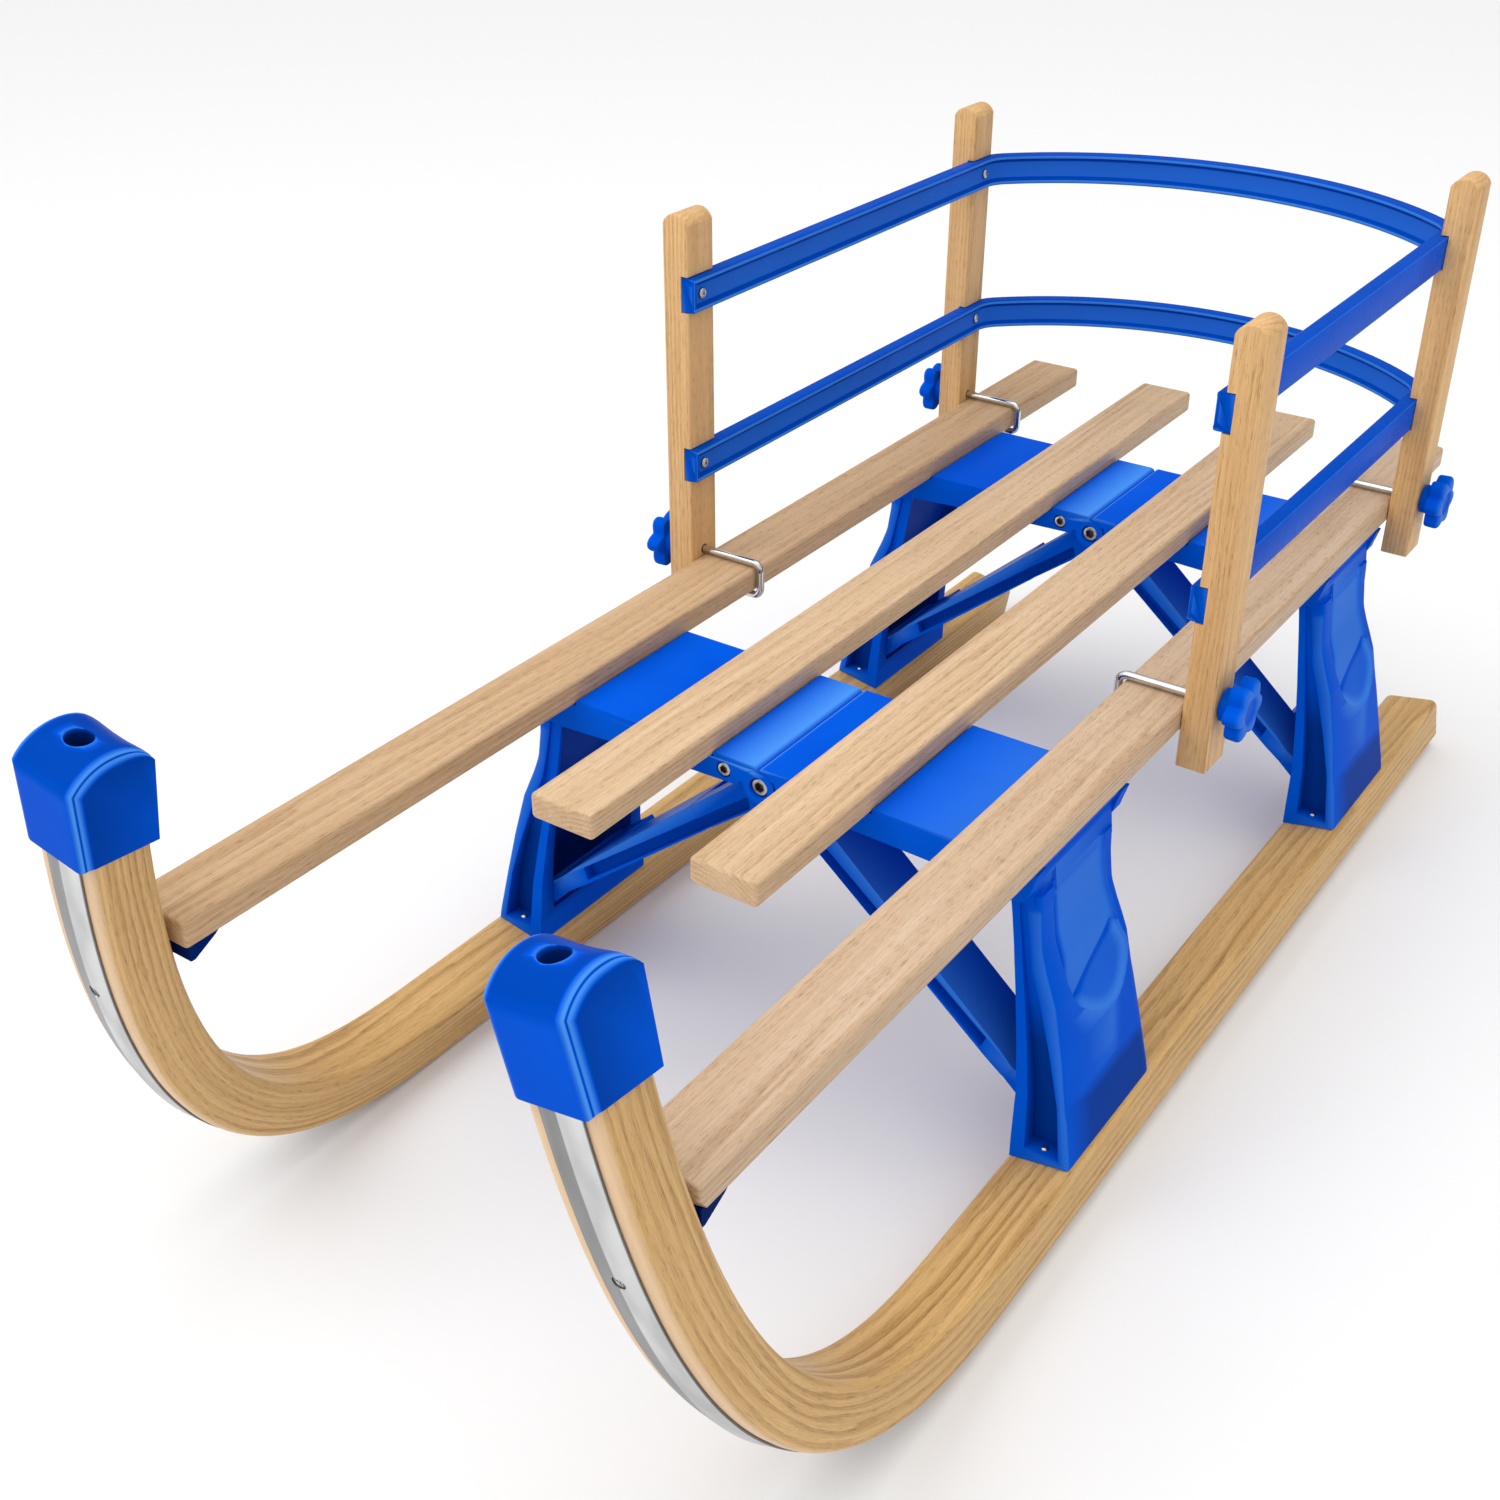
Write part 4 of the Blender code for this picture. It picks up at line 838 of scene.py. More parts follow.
# ---- slats ----------------------------------------------------------------
def plank(name, x, y, z, radius, steps=4, ends=None):
    """A planed strip along y with rounded edges and ends."""
    (x0, x1), (y0, y1), (z0, z1) = x, y, z
    corner = ends or radius
    rings = []
    def ring(y, inset):
        pts = rounded([(x0 + inset, z0 + inset), (x1 - inset, z0 + inset), (x1 - inset, z1 - inset), (x0 + inset, z1 - inset)],
                      [max(radius - inset, 0.25)] * 4, steps)
        return [(a, y, b) for a, b in pts]
    profile = [(corner * (1 - math.cos(math.pi / 2 * k / 4)), corner * (1 - math.sin(math.pi / 2 * k / 4))) for k in range(5)]
    for along, inset in profile:
        rings.append(ring(y0 + along, inset))
    for along, inset in reversed(profile):
        rings.append(ring(y1 - along, inset))
    return loft(name, rings, BEECH)


for hand, side in SIDES.items():
    for place, x, start, end in (("outer", OUTER_X, OUTER_START, OUTER_END), ("inner", INNER_X, INNER_START, LENGTH)):
        slat = plank(
            f"look_slat_{place}_{hand}", (side * x - SLAT_W / 2, side * x + SLAT_W / 2), (Y(start), Y(end)), (SLAT_BOTTOM, SEAT_TOP), 2.8, ends=2.2,
        )
        if place == "outer":
            slat.data.materials[0] = OUTER_BEECH[hand]
            cx, cy, cz = 26.0, 6.4, 8.4
            cut(slat, loft("corner", [
                [(side * (x + SLAT_W / 2 + across), Y(start) + a, SLAT_BOTTOM + b) for a, b in (
                    (-8.0, -8.0), (cy * (c + 8.0 / cz), -8.0), (-8.0, cz * (c + 8.0 / cy)))]
                for across, c in ((-cx - 1.0, -1.0 / cx), (3.0, 1.0 + 3.0 / cx))
            ]))
        du, ds, dv = shift(place + hand)
        mid = side * x
        turn = 1 if (place == "outer") == (side > 0) else -1
        grain(slat, lambda a, b, c: (turn * (a - mid) + du * 0.05, b + ds, (c - SLAT_BOTTOM) + dv))
        shade(slat, 50)
        put(slat, seat_body(hand), f"slat_{place}_{hand}", mat_slot="beech")
    z = SLAT_BOTTOM - GAP
    y = Y(OUTER_START + 4.0)
    wedge = slab(f"look_end_block_{hand}", [(y, z), (y + 22.0, z), (y + 17.0, z - 4.0), (y + 3.0, z - 11.0), (y, z - 11.0)], "x",
                 (side * 136.0, side * 171.0), DARK_BLUE)
    soften(wedge, 0.8, 3)
    put(wedge, seat_body(hand), f"slat_end_block_{hand}", mat_slot="dark_blue_plastic")


# ---- legs -----------------------------------------------------------------
def leg_at(z):
    for (za, *low), (zb, *high) in zip(LEG, LEG[1:]):
        if z <= zb:
            f = (z - za) / (zb - za)
            return [p + (q - p) * f for p, q in zip(low, high)]
    return list(LEG[-1][1:])


def line_at(table, z):
    """Linear reading of ((z, value), ...) with rising z."""
    if z <= table[0][0]:
        return table[0][1]
    for (a, p), (b, q) in zip(table, table[1:]):
        if z <= b:
            return p + (q - p) * (z - a) / (b - a)
    return table[-1][1]


# the outer skin's relief: outlines in y from the leg's middle (front negative) and z
RECESS = (
    (-30.0, 214.0), (-28.5, 185.0), (-27.5, 153.0), (-27.8, 137.0), (-26.2, 127.5), (-22.7, 120.7), (-18.5, 115.8), (-12.0, 110.4),
    (-5.7, 105.6), (2.0, 101.6), (9.0, 99.4), (16.0, 98.9), (22.5, 100.2), (29.0, 104.0), (34.0, 109.2), (38.0, 115.2), (40.0, 121.6),
    (39.4, 127.2), (37.4, 131.8), (36.0, 136.7), (36.4, 150.9), (34.5, 165.0), (32.5, 177.5), (31.0, 214.0),
)
POCKET = ((-24.0, 116.6), (-17.4, 119.6), (-6.9, 124.6), (2.0, 128.6), (12.6, 132.6), (24.4, 137.0), (34.0, 141.5), (50.0, 150.0))


def gap_to(line, y, z, closed):
    """Distance to a run of straight pieces."""
    best = 1e9
    pairs = zip(line, line[1:] + line[:1]) if closed else zip(line, line[1:])
    for (ya, za), (yb, zb) in pairs:
        dy, dz = yb - ya, zb - za
        f = clamp(((y - ya) * dy + (z - za) * dz) / (dy * dy + dz * dz))
        best = min(best, math.hypot(y - ya - dy * f, z - za - dz * f))
    return best


def within(line, y, z):
    inside = False
    for (ya, za), (yb, zb) in zip(line, line[1:] + line[:1]):
        if (za > z) != (zb > z) and y < (yb - ya) * (z - za) / (zb - za) + ya:
            inside = not inside
    return inside


def panel_depth(z):
    """The pale panel is one flat face: the skin flares away from it below."""
    flat = 170.2 + (184.2 - 170.2) * (195.6 - z) / (195.6 - 117.0)
    return max(1.5, min(leg_at(z)[1] - flat, 7.4))


def relief(y, z):
    """How far the outer skin is set in at a point, in millimetres."""
    if z < 96.0 or not within(RECESS, y, z):
        return 0.0
    edge = gap_to(RECESS, y, z, True)
    if z >= line_at_y(POCKET, y):
        wall = clamp(edge / (0.9 if y < 0 else 2.2))
        channel = 1.7 * (1 - smooth(y - line_at(PANEL_EDGE, z), -0.6, 0.6)) if z > 116.0 else 0.0
        return panel_depth(z) * wall + channel * clamp(edge / 1.2)
    # below the panel the skin is scooped: straight up from the panel's edge to the lip
    drop = gap_to(POCKET, y, z, False)
    share = edge / max(edge + drop, 0.01)
    lip = min(edge / 0.8, 1.0) * 0.9
    return min(lip + (panel_depth(max(z, 117.0)) - 0.9) * share, panel_depth(max(z, 117.0)))


def skin_painted_light(y, z):
    """Painted light on the outer skin: painted highlights along the recess edge, on the lip, on a streak, on the panel
    and the scoop; painted shade in the channel, at the crease and inside the edge.
    """
    inside = z >= 96.0 and within(RECESS, y, z)
    edge = gap_to(RECESS, y, z, True)
    if edge < 0.2:
        return 0.38 if z < 140.0 and y > -16.0 else 0.05
    if not inside:
        # a painted highlight streak below the recess, and a painted highlight along the lip
        streak = 0.38 * math.exp(-((y - 9.0 - 0.25 * (z - 80.0)) / 11.0) ** 2)
        lip = (0.42 if y > -16.0 else 0.12) * (1 - smooth(edge, 0.3, 2.2)) if z < 140.0 else 0.12 * (1 - smooth(edge, 0.3, 2.0))
        return max(lip, (streak - 0.12) * (1 - smooth(z, 95.0, 130.0)))
    drop = gap_to(POCKET, y, z, False)
    if drop < 0.2:
        return -0.05
    if z >= line_at_y(POCKET, y):
        past = y - line_at(PANEL_EDGE, z)
        channel = -0.34 * (1 - smooth(past, -0.5, 0.5))
        return channel + 0.34 * smooth(past, 0.3, 2.4) * smooth(edge, 0.8, 4.0) - 0.14 * (1 - smooth(edge, 0.4, 1.8))
    return 0.14 + 0.36 * (1 - smooth(edge, 1.0, 9.0)) - 0.28 * (1 - smooth(drop, 0.5, 5.0))


PANEL_EDGE = ((118.0, -19.0), (122.0, -20.5), (127.5, -23.0), (137.0, -24.3), (153.0, -23.6), (185.0, -24.4), (214.0, -26.0))


def line_at_y(line, y):
    if y <= line[0][0]:
        return line[0][1]
    for (a, p), (b, q) in zip(line, line[1:]):
        if y <= b:
            return p + (q - p) * (y - a) / (b - a)
    return line[-1][1]


def crossings(line, z):
    return [ya + (yb - ya) * (z - za) / (zb - za) for (ya, za), (yb, zb) in zip(line, line[1:]) if za != zb and (za - z) * (zb - z) <= 0]


def columns(z, rear, front):
    """The y positions across the outer skin, gathered at the lines of the relief."""
    found = crossings(RECESS, clamp(z, 99.6, 213.0))
    left, right = min(found), max(found)
    lip = 1.0 + 1.2 * smooth(z, 128.0, 142.0)
    if z < 118.2:
        inner = [left + 1.0, left + 0.75, left + 0.5]
    else:
        crease = crossings(POCKET, z)
        crease = crease[0] if crease and z < 141.2 else right
        inner = [crease, line_at(PANEL_EDGE, z), left + 1.1]
    stops = [rear, right, right - lip] + inner + [left, front]
    for i in range(len(stops) - 2, 0, -1):
        stops[i] = max(stops[i], stops[i + 1] + 0.22)
    for i in range(1, len(stops) - 1):
        stops[i] = min(stops[i], stops[i - 1] - 0.22)
    out = [rear]
    for (a, b), n in zip(zip(stops, stops[1:]), (9, 2, 14, 13, 3, 2, 2, 8)):
        out += [a + (b - a) * i / n for i in range(1, n + 1)]
    return out


def make_leg():
    """The right front leg, about its own middle in y."""
    foot = RUNNER_MID + RUNNER_T / 2 + GAP

    def sole(u):
        return (RUNNER_X + u * math.cos(CANT) - foot * math.sin(CANT), RUNNER_Z + u * math.sin(CANT) + foot * math.cos(CANT))

    (xi, zi), (xo, zo) = sole(-18.3), sole(18.3)
    half = BRACKET_L / 2
    fine = 1.0
    levels = [None, 40.0, 50.0, 60.0, 70.0, 80.0, 88.0, 94.0]
    z = 97.0
    while z < 144.0:
        levels.append(z)
        z += fine
    levels += [z + 4.0 * i for i in range(int((195.6 - z) / 4.0))] + [195.6]
    rings = []
    r = 2.2
    for z in levels:
        if z is None:
            a, b, h, za, zb = xi, xo, half, zi, zo
        else:
            (a, b, h), za, zb = leg_at(z), z, z
        ring = [(a, -h, za), (a, h, za)]
        # rear outer corner, outer skin from the rear to the front, front outer corner
        q = 2.4 + 5.0 * (1 - smooth(z or 20.0, 100.0, 150.0))
        ring += [(b - q, h, zb)] + [(b - q + q * math.sin(t), h - q + q * math.cos(t), zb) for t in (0.3, 0.6, 0.9, 1.2)]
        for y in columns(z if z is not None else 40.0, h - q, -h + r):
            ring.append((b - (relief(y, z) if z is not None else 0.0), y, zb))
        ring += [(b - r + r * math.cos(t), -h + r - r * math.sin(t), zb) for t in (0.4, 0.8, 1.2)] + [(b - r, -h, zb)]
        rings.append(ring)
    body = loft("leg", rings, BLUE)
    ax, az = LEG_PIN
    neck_h = BRACKET_L / 2 - CHEEK_T - GAP
    neck = slab("neck", [(153.6, 190.0), (ax - 7.6, az), (ax - 5.0, az + 5.0), (ax + 5.0, az + 5.0), (ax + 7.9, az), (170.1, 195.7),
                         (170.9, 190.0)], "y", (-23.4, neck_h))
    # set back where the channel runs on
    back = slab("back", [(153.6, 190.0), (ax - 7.6, az), (ax - 5.0, az + 5.0), (ax + 5.0, az + 5.0), (ax + 6.4, az), (167.9, 190.0)],
                "y", (-neck_h, -22.9))
    knuckle = rod("knuckle", (ax, -neck_h, az), (ax, neck_h, az), 8.0, None, 40)
    join(body, neck, back, knuckle)
    rings = []
    for z in (46.0, 70.0, 100.0, 130.0, 150.0, 170.0, 187.0):
        far = leg_at(z)[1] - LEG_SKIN - (4.6 if z > 90 else 0.0)
        rings.append([(x, y, z) for x, y in rounded([(130.0, -LEG_ROOM), (far, -LEG_ROOM), (far, LEG_ROOM), (130.0, LEG_ROOM)], (0, 3.0, 3.0, 0), 4)])
    cutters = [loft("room", rings)]
    groove = ((36.0, 181.0, 202.0), (70.0, 178.5, 196.5), (100.0, 174.0, 188.0),
              (130.0, 168.8, 178.0), (150.0, 165.0, 170.5), (180.0, 160.2, 164.6), (192.0, 158.6, 162.6))
    for end in (-1, 1):
        rings = []
        for z, a, b in groove:
            h = leg_at(max(z, 40.0))[2]
            deep = max(h - 12.0, LEG_ROOM + 1.0)
            rings.append([(x, end * d, z) for x, d in ((a, deep), (b, deep), (b, h + 4.0), (a, h + 4.0))])
        cutters.append(loft("groove", rings))
    cutters.append(block("relief", (140.0, 166.5), (-half + BRACE_FRONT - 1.0, -half + BRACE_FRONT + BRACE_W + 1.0), (186.0, 216.0)))
    cutters.append(rod("bore", (ax, -70, az), (ax, 70, az), PIN_R + GAP, None, 24))
    cut(body, *cutters)
    return body


leg_mesh = make_leg()
shade(leg_mesh, 24)


def leg_painted_light(x, y, z):
    # painted light: paler top of the panel and paler front outer edge; painted shade in the hollow and in the grooves
    # and other inner faces
    outer, h = leg_at(clamp(z, 40.0, 195.6))[1:]
    if z > 186.5 and x > 166.0:
        return 0.30 * smooth(y - line_at(PANEL_EDGE, z), 0.0, 2.0) * (1 - smooth(y, 28.0, 31.0))
    if x > outer - relief(y, z) - 0.6 and z > 60.0 and abs(y) < h - 1.0:
        return skin_painted_light(y, z) * smooth(z, 60.0, 80.0)
    if x > outer - 3.2 and y < -h + 1.6:
        return 0.24
    if x < outer - LEG_SKIN - 1.0 and abs(y) < LEG_ROOM + 0.5 and z < 189.0:
        return -0.55
    if abs(y) < h - 5.0 and z < 186.5:
        return -0.70
    return 0.0


mark(leg_mesh, "painted_light", leg_painted_light)
for place, station in BRACKETS.items():
    ym = Y(station) + BRACKET_L / 2
    for hand, side in SIDES.items():
        mesh = leg_mesh.data.copy()
        if side < 0:
            mesh.transform(Matrix.Scale(-1, 4, (1, 0, 0)))
            mesh.flip_normals()
        mesh.transform(Matrix.Translation((0, ym * MM, 0)))
        leg = link(f"look_leg_{place}_{hand}", mesh)
        put(leg, f"runner_{hand}", f"leg_{place}_{hand}", mat_slot="blue_plastic")
        # the screw in the foot, at the bottom of the front and rear grooves
        for end in (-1, 1):
            at = Vector((side * 191.0, ym + end * (BRACKET_L / 2 - 5.6), 37.6))
            screw = rod(f"look_foot_screw_{place}_{hand}_{'front' if end < 0 else 'rear'}", at, at - Vector((0, 0, 2.2)), 2.3, ZINC, 24,
                        ((0.0, 1.0), (0.12, 1.6), (0.35, 2.1), (0.6, 2.3), (1.0, 2.3)))
            shade(screw, 50)
            put(screw, f"runner_{hand}", mat_slot="zinc_screw")
bpy.data.objects.remove(leg_mesh)


# ---- half-beams -----------------------------------------------------------
def half_beam(place, station, hand, side):
    y0, y1 = Y(station), Y(station + BRACKET_L)
    cx, cz = HINGE
    ax, az = LEG_PIN
    edge = GAP / 2
    name = f"look_half_beam_{place}_{hand}"

    def xs(a, b):
        return (side * a, side * b)

    slat_in, slat_out = INNER_X - SLAT_W / 2, INNER_X + SLAT_W / 2
    outer_in = OUTER_X - SLAT_W / 2
    low = PLATE_TOP - PLATE_T
    r = 8.0 if side < 0 else 3.0
    top = [(edge, low), (edge, PAD_TOP), (slat_in - 0.6, PAD_TOP), (slat_in - 0.6, PLATE_TOP), (slat_out + 0.6, PLATE_TOP),
           (slat_out + 0.6, PAD_TOP), (outer_in - 0.6, PAD_TOP), (outer_in - 0.6, PLATE_TOP), (171.5, PLATE_TOP), (171.5, low)]
    top = rounded(top, (0, r, 0.8, 0, 0, 0.8, 0.8, 0, 1.2, 0.8), 6)
    beam = slab(name, [(side * x, z) for x, z in top], "y", (y0, y1), BLUE)
    extra = []
    for a, b in ((y0, y0 + SKIRT_T), (y1 - SKIRT_T, y1)):
        extra.append(slab("skirt", [(side * x, z) for x, z in (
            (9.0, PLATE_TOP - 1), (14.5, 204.6), (60.0, SKIRT_BOTTOM), (108.0, 201.8), (146.0, 199.6), (149.5, 203.0), (150.5, PLATE_TOP - 1))],
            "y", (a, b)))
    for a, b in ((y0, y0 + CHEEK_T), (y1 - CHEEK_T, y1)):
        extra.append(rod("cheek", (side * ax, a, az), (side * ax, b, az), CHEEK_R, None, 40))
        extra.append(slab("cheek_top", [(side * x, z) for x, z in (
            (ax - 8.6, az - 2.0), (ax + 8.6, az - 2.0), (ax + 12.5, PLATE_TOP - 1), (ax - 12.5, PLATE_TOP - 1))], "y", (a, b)))
    if side < 0:
        own = [(0.0, BRACE_FRONT - GAP), (BRACE_FRONT + BRACE_W + 12.0 + 2 * GAP, 76.0)]
    else:
        own = [(BRACE_FRONT + BRACE_W + GAP, BRACE_FRONT + BRACE_W + 12.0), (76.0 + GAP, 88.0)]
    room = rod("room", (0, y0 - 1, cz), (0, y1 + 1, cz), LOBE_R + GAP, None, 48)
    boss = block("boss", xs(17.0, 31.0), (y0 + 1, y0 + BRACE_FRONT - GAP), (204.4, PLATE_TOP - 1))
    join(beam, *extra, boss)
    cut(beam, room)
    more = []
    for a, b in own:
        more.append(rod("lobe", (0, y0 + a, cz), (0, y0 + b, cz), LOBE_R, None, 48))
        more.append(slab("arm", [(side * x, z) for x, z in (
            (1.6, cz + 2.0), (1.6, PLATE_TOP - 4.0), (18.0, PLATE_TOP - 0.5), (18.0, 207.0), (9.0, cz + 0.4))], "y", (y0 + a, y0 + b)))
    join(beam, *more)
    cutters = [
        rod("pin", (0, y0 - 5, cz), (0, y1 + 5, cz), PIN_R + GAP, None, 24),
        rod("leg_pin", (side * ax, y0 - 5, az), (side * ax, y1 + 5, az), PIN_R + GAP, None, 24),
        rod("bolt", (side * 24.0, y0 - 5, 211.3), (side * 24.0, y0 + 20, 211.3), 2.3, None, 16),
        rod("seat", (side * 24.0, y0 - 5, 211.3), (side * 24.0, y0 + 3.2, 211.3), 5.0, None, 32),
    ]
    if side < 0:
        cutters.append(rod("head", (0, y0 - 5, cz), (0, y0 + 5.0, cz), 6.3, None, 32))
    cut(beam, *cutters)
    tidy(beam)
    soften(beam, 0.45, 2, 32)
    if side < 0:
        # painted highlight along the rounded edge by the seam
        mark(beam, "painted_light", lambda x, y, z: 0.75 * math.sin(math.pi * clamp(-x / 8.6)) if z > PAD_TOP - 5.0 and -8.6 < x < 0 else 0.0)
    else:
        # painted highlights: the edge by the seam, and the far pad painted paler towards the leg
        mark(beam, "painted_light", lambda x, y, z: 0.5 if z > PAD_TOP - 2.4 and 0.4 < x < 2.9 else (
            0.28 * clamp((x - slat_out) / (outer_in - slat_out)) if abs(z - PAD_TOP) < 0.9 else 0.0))
    put(beam, seat_body(hand), f"half_beam_{place}_{hand}", mat_slot="blue_plastic")


def hex_head(name, x, y, z, r, depth, body, node, length):
    """A pan head with a hexagon recess, facing the front."""
    head = rod(name, (x, y, z), (x, y + depth, z), r, ZINC, 36, ((0.0, r * 0.80), (0.10, r * 0.90), (0.28, r * 0.97), (0.5, r), (1.0, r)))
    recess = rod("recess", (x, y - 1, z), (x, y + depth * 0.75, z), r * 0.56, None, 6)
    cut(head, recess)
    join(head, rod("shank", (x, y + depth * 0.9, z), (x, y + length, z), min(r * 0.45, PIN_R), None, 16))
    tidy(head)
    shade(head, 32)

    # painted shade: dark in the hex recess, darkest at its bottom, and round the edge of the head; the rest of the
    # face a little darker
    def paint_shade(px, py, pz):
        out = math.hypot(px - x, pz - z)
        if out < r * 0.57:
            return 0.92 if py > y + depth * 0.3 else 0.55
        return 0.75 if out > r * 0.98 else 0.12

    mark(head, "painted_shade", paint_shade)
    put(head, body, node, mat_slot="zinc_screw")


# ---- braces ---------------------------------------------------------------
def brace(place, station, hand, side):
    y0 = Y(station) + BRACE_FRONT
    y1 = y0 + BRACE_W
    cx, cz = HINGE
    bx, bz = BAR
    axis = Vector((bx - cx, bz - cz))
    length = axis.length
    axis.normalize()
    up = Vector((-axis.y, axis.x))
    name = f"look_brace_{place}_{hand}"

    def at(points):
        out = []
        for d, h in points:
            p = Vector((cx, cz)) + axis * d + up * h
            out.append((side * p.x, p.y))
        return out

    half = (y0, y0 + BRACE_W / 2 - GAP / 2) if side < 0 else (y0 + BRACE_W / 2 + GAP / 2, y1)
    reach = BRACE_LAP if side < 0 else 46.0
    body = slab(name, at([(reach, 7.6), (length - 34.0, 6.4), (length - 20.0, 5.2), (length - 20.0, -5.2),
                          (length - 34.0, -6.2), (100.0, -8.6), (reach, -9.6)]), "y", (y0, y1), BLUE)
    lap = slab("lap", at([(4.0, 7.0), (20.0, 7.0), (reach + 4.0, 7.4), (reach + 4.0, -9.2), (34.0, -11.6), (4.0, -8.2)]),
               "y", (half[0] + 0.15, half[1] - 0.15))
    hub = rod("hub", (0, half[0], cz), (0, half[1], cz), HUB_R, None, 40)
    flange = slab("flange", at([(length - 36.0, 5.4), (length, 5.6), (length, -5.6), (length - 36.0, -5.0)]), "y",
                  (y0 + 0.5, Y(station) + BRACKET_L - BRACE_FRONT - 0.4))
    cross = rod("cross", (side * bx, y0 + 0.2, bz), (side * bx, Y(station) + BRACKET_L - BRACE_FRONT, bz), BAR_R, None, 40)
    join(body, lap, hub, flange, cross)
    channel = slab("channel", at(rounded([(26.0, -3.4), (length - 43.0, 4.2), (length - 40.0, -4.3), (30.0, -10.2)], (1.5, 0.5, 0.5, 1.5), 3)), "y",
                   (y0 - 5.0, y0 + 7.0))
    bore = rod("bore", (0, y0 - 5, cz), (0, y1 + 5, cz), PIN_R + GAP, None, 24)
    cut(body, channel, bore)
    tidy(body)
    soften(body, 0.45, 2, 32)

    # painted light: painted shade in the channel, a painted highlight along the upper front edge
    def wear_and_painted_light(x, y, z):
        p = Vector((side * x - cx, z - cz))
        d, h = p.dot(axis), p.dot(up)
        if abs(y - y0 - 7.0) < 0.8 and 20.0 < d < length - 36.0 and -11.5 < h < 5.5:
            return -0.25
        return 0.32 if h > 4.2 and y < y0 + 2.0 and d > 14.0 else 0.0

    mark(body, "painted_light", wear_and_painted_light)
    put(body, f"braces_{hand}", f"brace_{place}_{hand}", mat_slot="blue_plastic")


for place, station in BRACKETS.items():
    y0 = Y(station)
    for hand, side in SIDES.items():
        half_beam(place, station, hand, side)
        brace(place, station, hand, side)
        hex_head(f"look_block_bolt_{place}_{hand}", side * 24.0, y0 + 0.4, 211.3, 4.6, 2.5, seat_body(hand), f"block_bolt_{place}_{hand}", 11.0)
        ax, az = LEG_PIN
        pin = rod(f"look_leg_pin_{place}_{hand}", (side * ax, y0 + 0.6, az), (side * ax, y0 + BRACKET_L - 0.6, az), PIN_R, ZINC, 32,
                  ((0.0, PIN_R - 0.5), (0.005, PIN_R), (0.995, PIN_R), (1.0, PIN_R - 0.5)))
        shade(pin, 40)
        put(pin, seat_body(hand), f"leg_pin_{place}_{hand}", mat_slot="zinc_screw")
    hex_head(f"look_centre_pin_{place}", 0.0, y0 + 1.0, HINGE[1], 5.9, 3.6, "seat_left", f"centre_hinge_pin_{place}", BRACKET_L - 13.0)


# ---- backrest -------------------------------------------------------------
for place, station in POSTS.items():
    y0, y1 = Y(station), Y(station + POST_W)
    ym = (y0 + y1) / 2
    for hand, side in SIDES.items():
        xm, half = (POST_X0 + POST_X1) / 2, (POST_X1 - POST_X0) / 2
        r = (half**2 + POST_ARCH**2) / (2 * POST_ARCH)
        a = math.degrees(math.asin(half / r))
        top = arc((xm, POST_TOP + POST_ARCH - r), r, 90 - a, 90 + a, 14)
        outline = [(POST_X0, POST_BOTTOM), (POST_X1, POST_BOTTOM)] + top
        post = slab(f"look_post_{place}_{hand}", [(side * x, z) for x, z in outline], "y", (y0, y1), BEECH)
        soften(post, 1.2, 3, 30)
        cutters = []
        for level, height in RAILS.items():
            cutters.append(block("notch", (side * 160.0, side * (RAIL_OUT + GAP)), (y0 - 5, y1 + 5),
                                 (height - RAIL_H / 2 - 2 * GAP, height + RAIL_H / 2 + 2 * GAP)))
            y = Y(station + POST_W / 2 - (1.0 if place == "rear" else 3.0))
            cutters.append(rod("screw", (side * 160, y, height), (side * 189.0, y, height), 2.3, None, 16))
        cutters.append(rod("hook", (side * 165, ym, HOOK_Z), (side * 205, ym, HOOK_Z), WIRE_R + GAP, None, 24))
        cut(post, *cutters)
        du, ds, dv = shift("post" + place + hand)
        grain(post, lambda x, y, z: (y - ym + du * 0.05, z + ds, side * (x - side * xm) + dv))
        mark(post, "warm", lambda x, y, z: 1.0)
        shade(post, 30)
        put(post, "backrest", f"post_{place}_{hand}", mat_slot="beech")


def rail_plan(inset, fine=1.0):
    r_back, x_side, r_bend = RAIL_BACK_R - inset, RAIL_OUT - inset, RAIL_BEND_R - inset
    cy = Y(RAIL_BACK) - RAIL_BACK_R
    bx = x_side - r_bend
    by = cy + math.sqrt((r_back - r_bend) ** 2 - bx**2)
    turn = math.degrees(math.atan2(by - cy, bx))
    front = Y(POSTS["front"] + 0.6)
    right = [(x_side, front)] + [(x_side, front + (by - front) * f) for f in (0.004, 0.25, 0.5, 0.75)]
    right += arc((bx, by), r_bend, 0.0, turn, int(12 * fine))
    back = arc((0.0, cy), r_back, turn, 90.0, int(20 * fine))
    half = right + back[1:]
    return half + [(-x, y) for x, y in reversed(half[:-1])]


RAIL_SECTION = [
    # (set in from the outer face, height): flat top and bottom, a rolled lip on the inner side
    (0.0, -1.0), (0.9, -1.0), (7.6, -1.0), (9.0, -0.985), (9.7, -0.95), (9.9, -0.89), (9.9, -0.77), (9.6, -0.73), (8.9, -0.69),
    (8.2, -0.64), (7.9, -0.58), (7.8, -0.5), (7.8, 0.0), (7.8, 0.5), (7.9, 0.58), (8.2, 0.64), (8.9, 0.69), (9.6, 0.73), (9.9, 0.77),
    (9.9, 0.89), (9.7, 0.95), (9.0, 0.985), (7.6, 1.0), (0.9, 1.0), (0.0, 1.0),
]


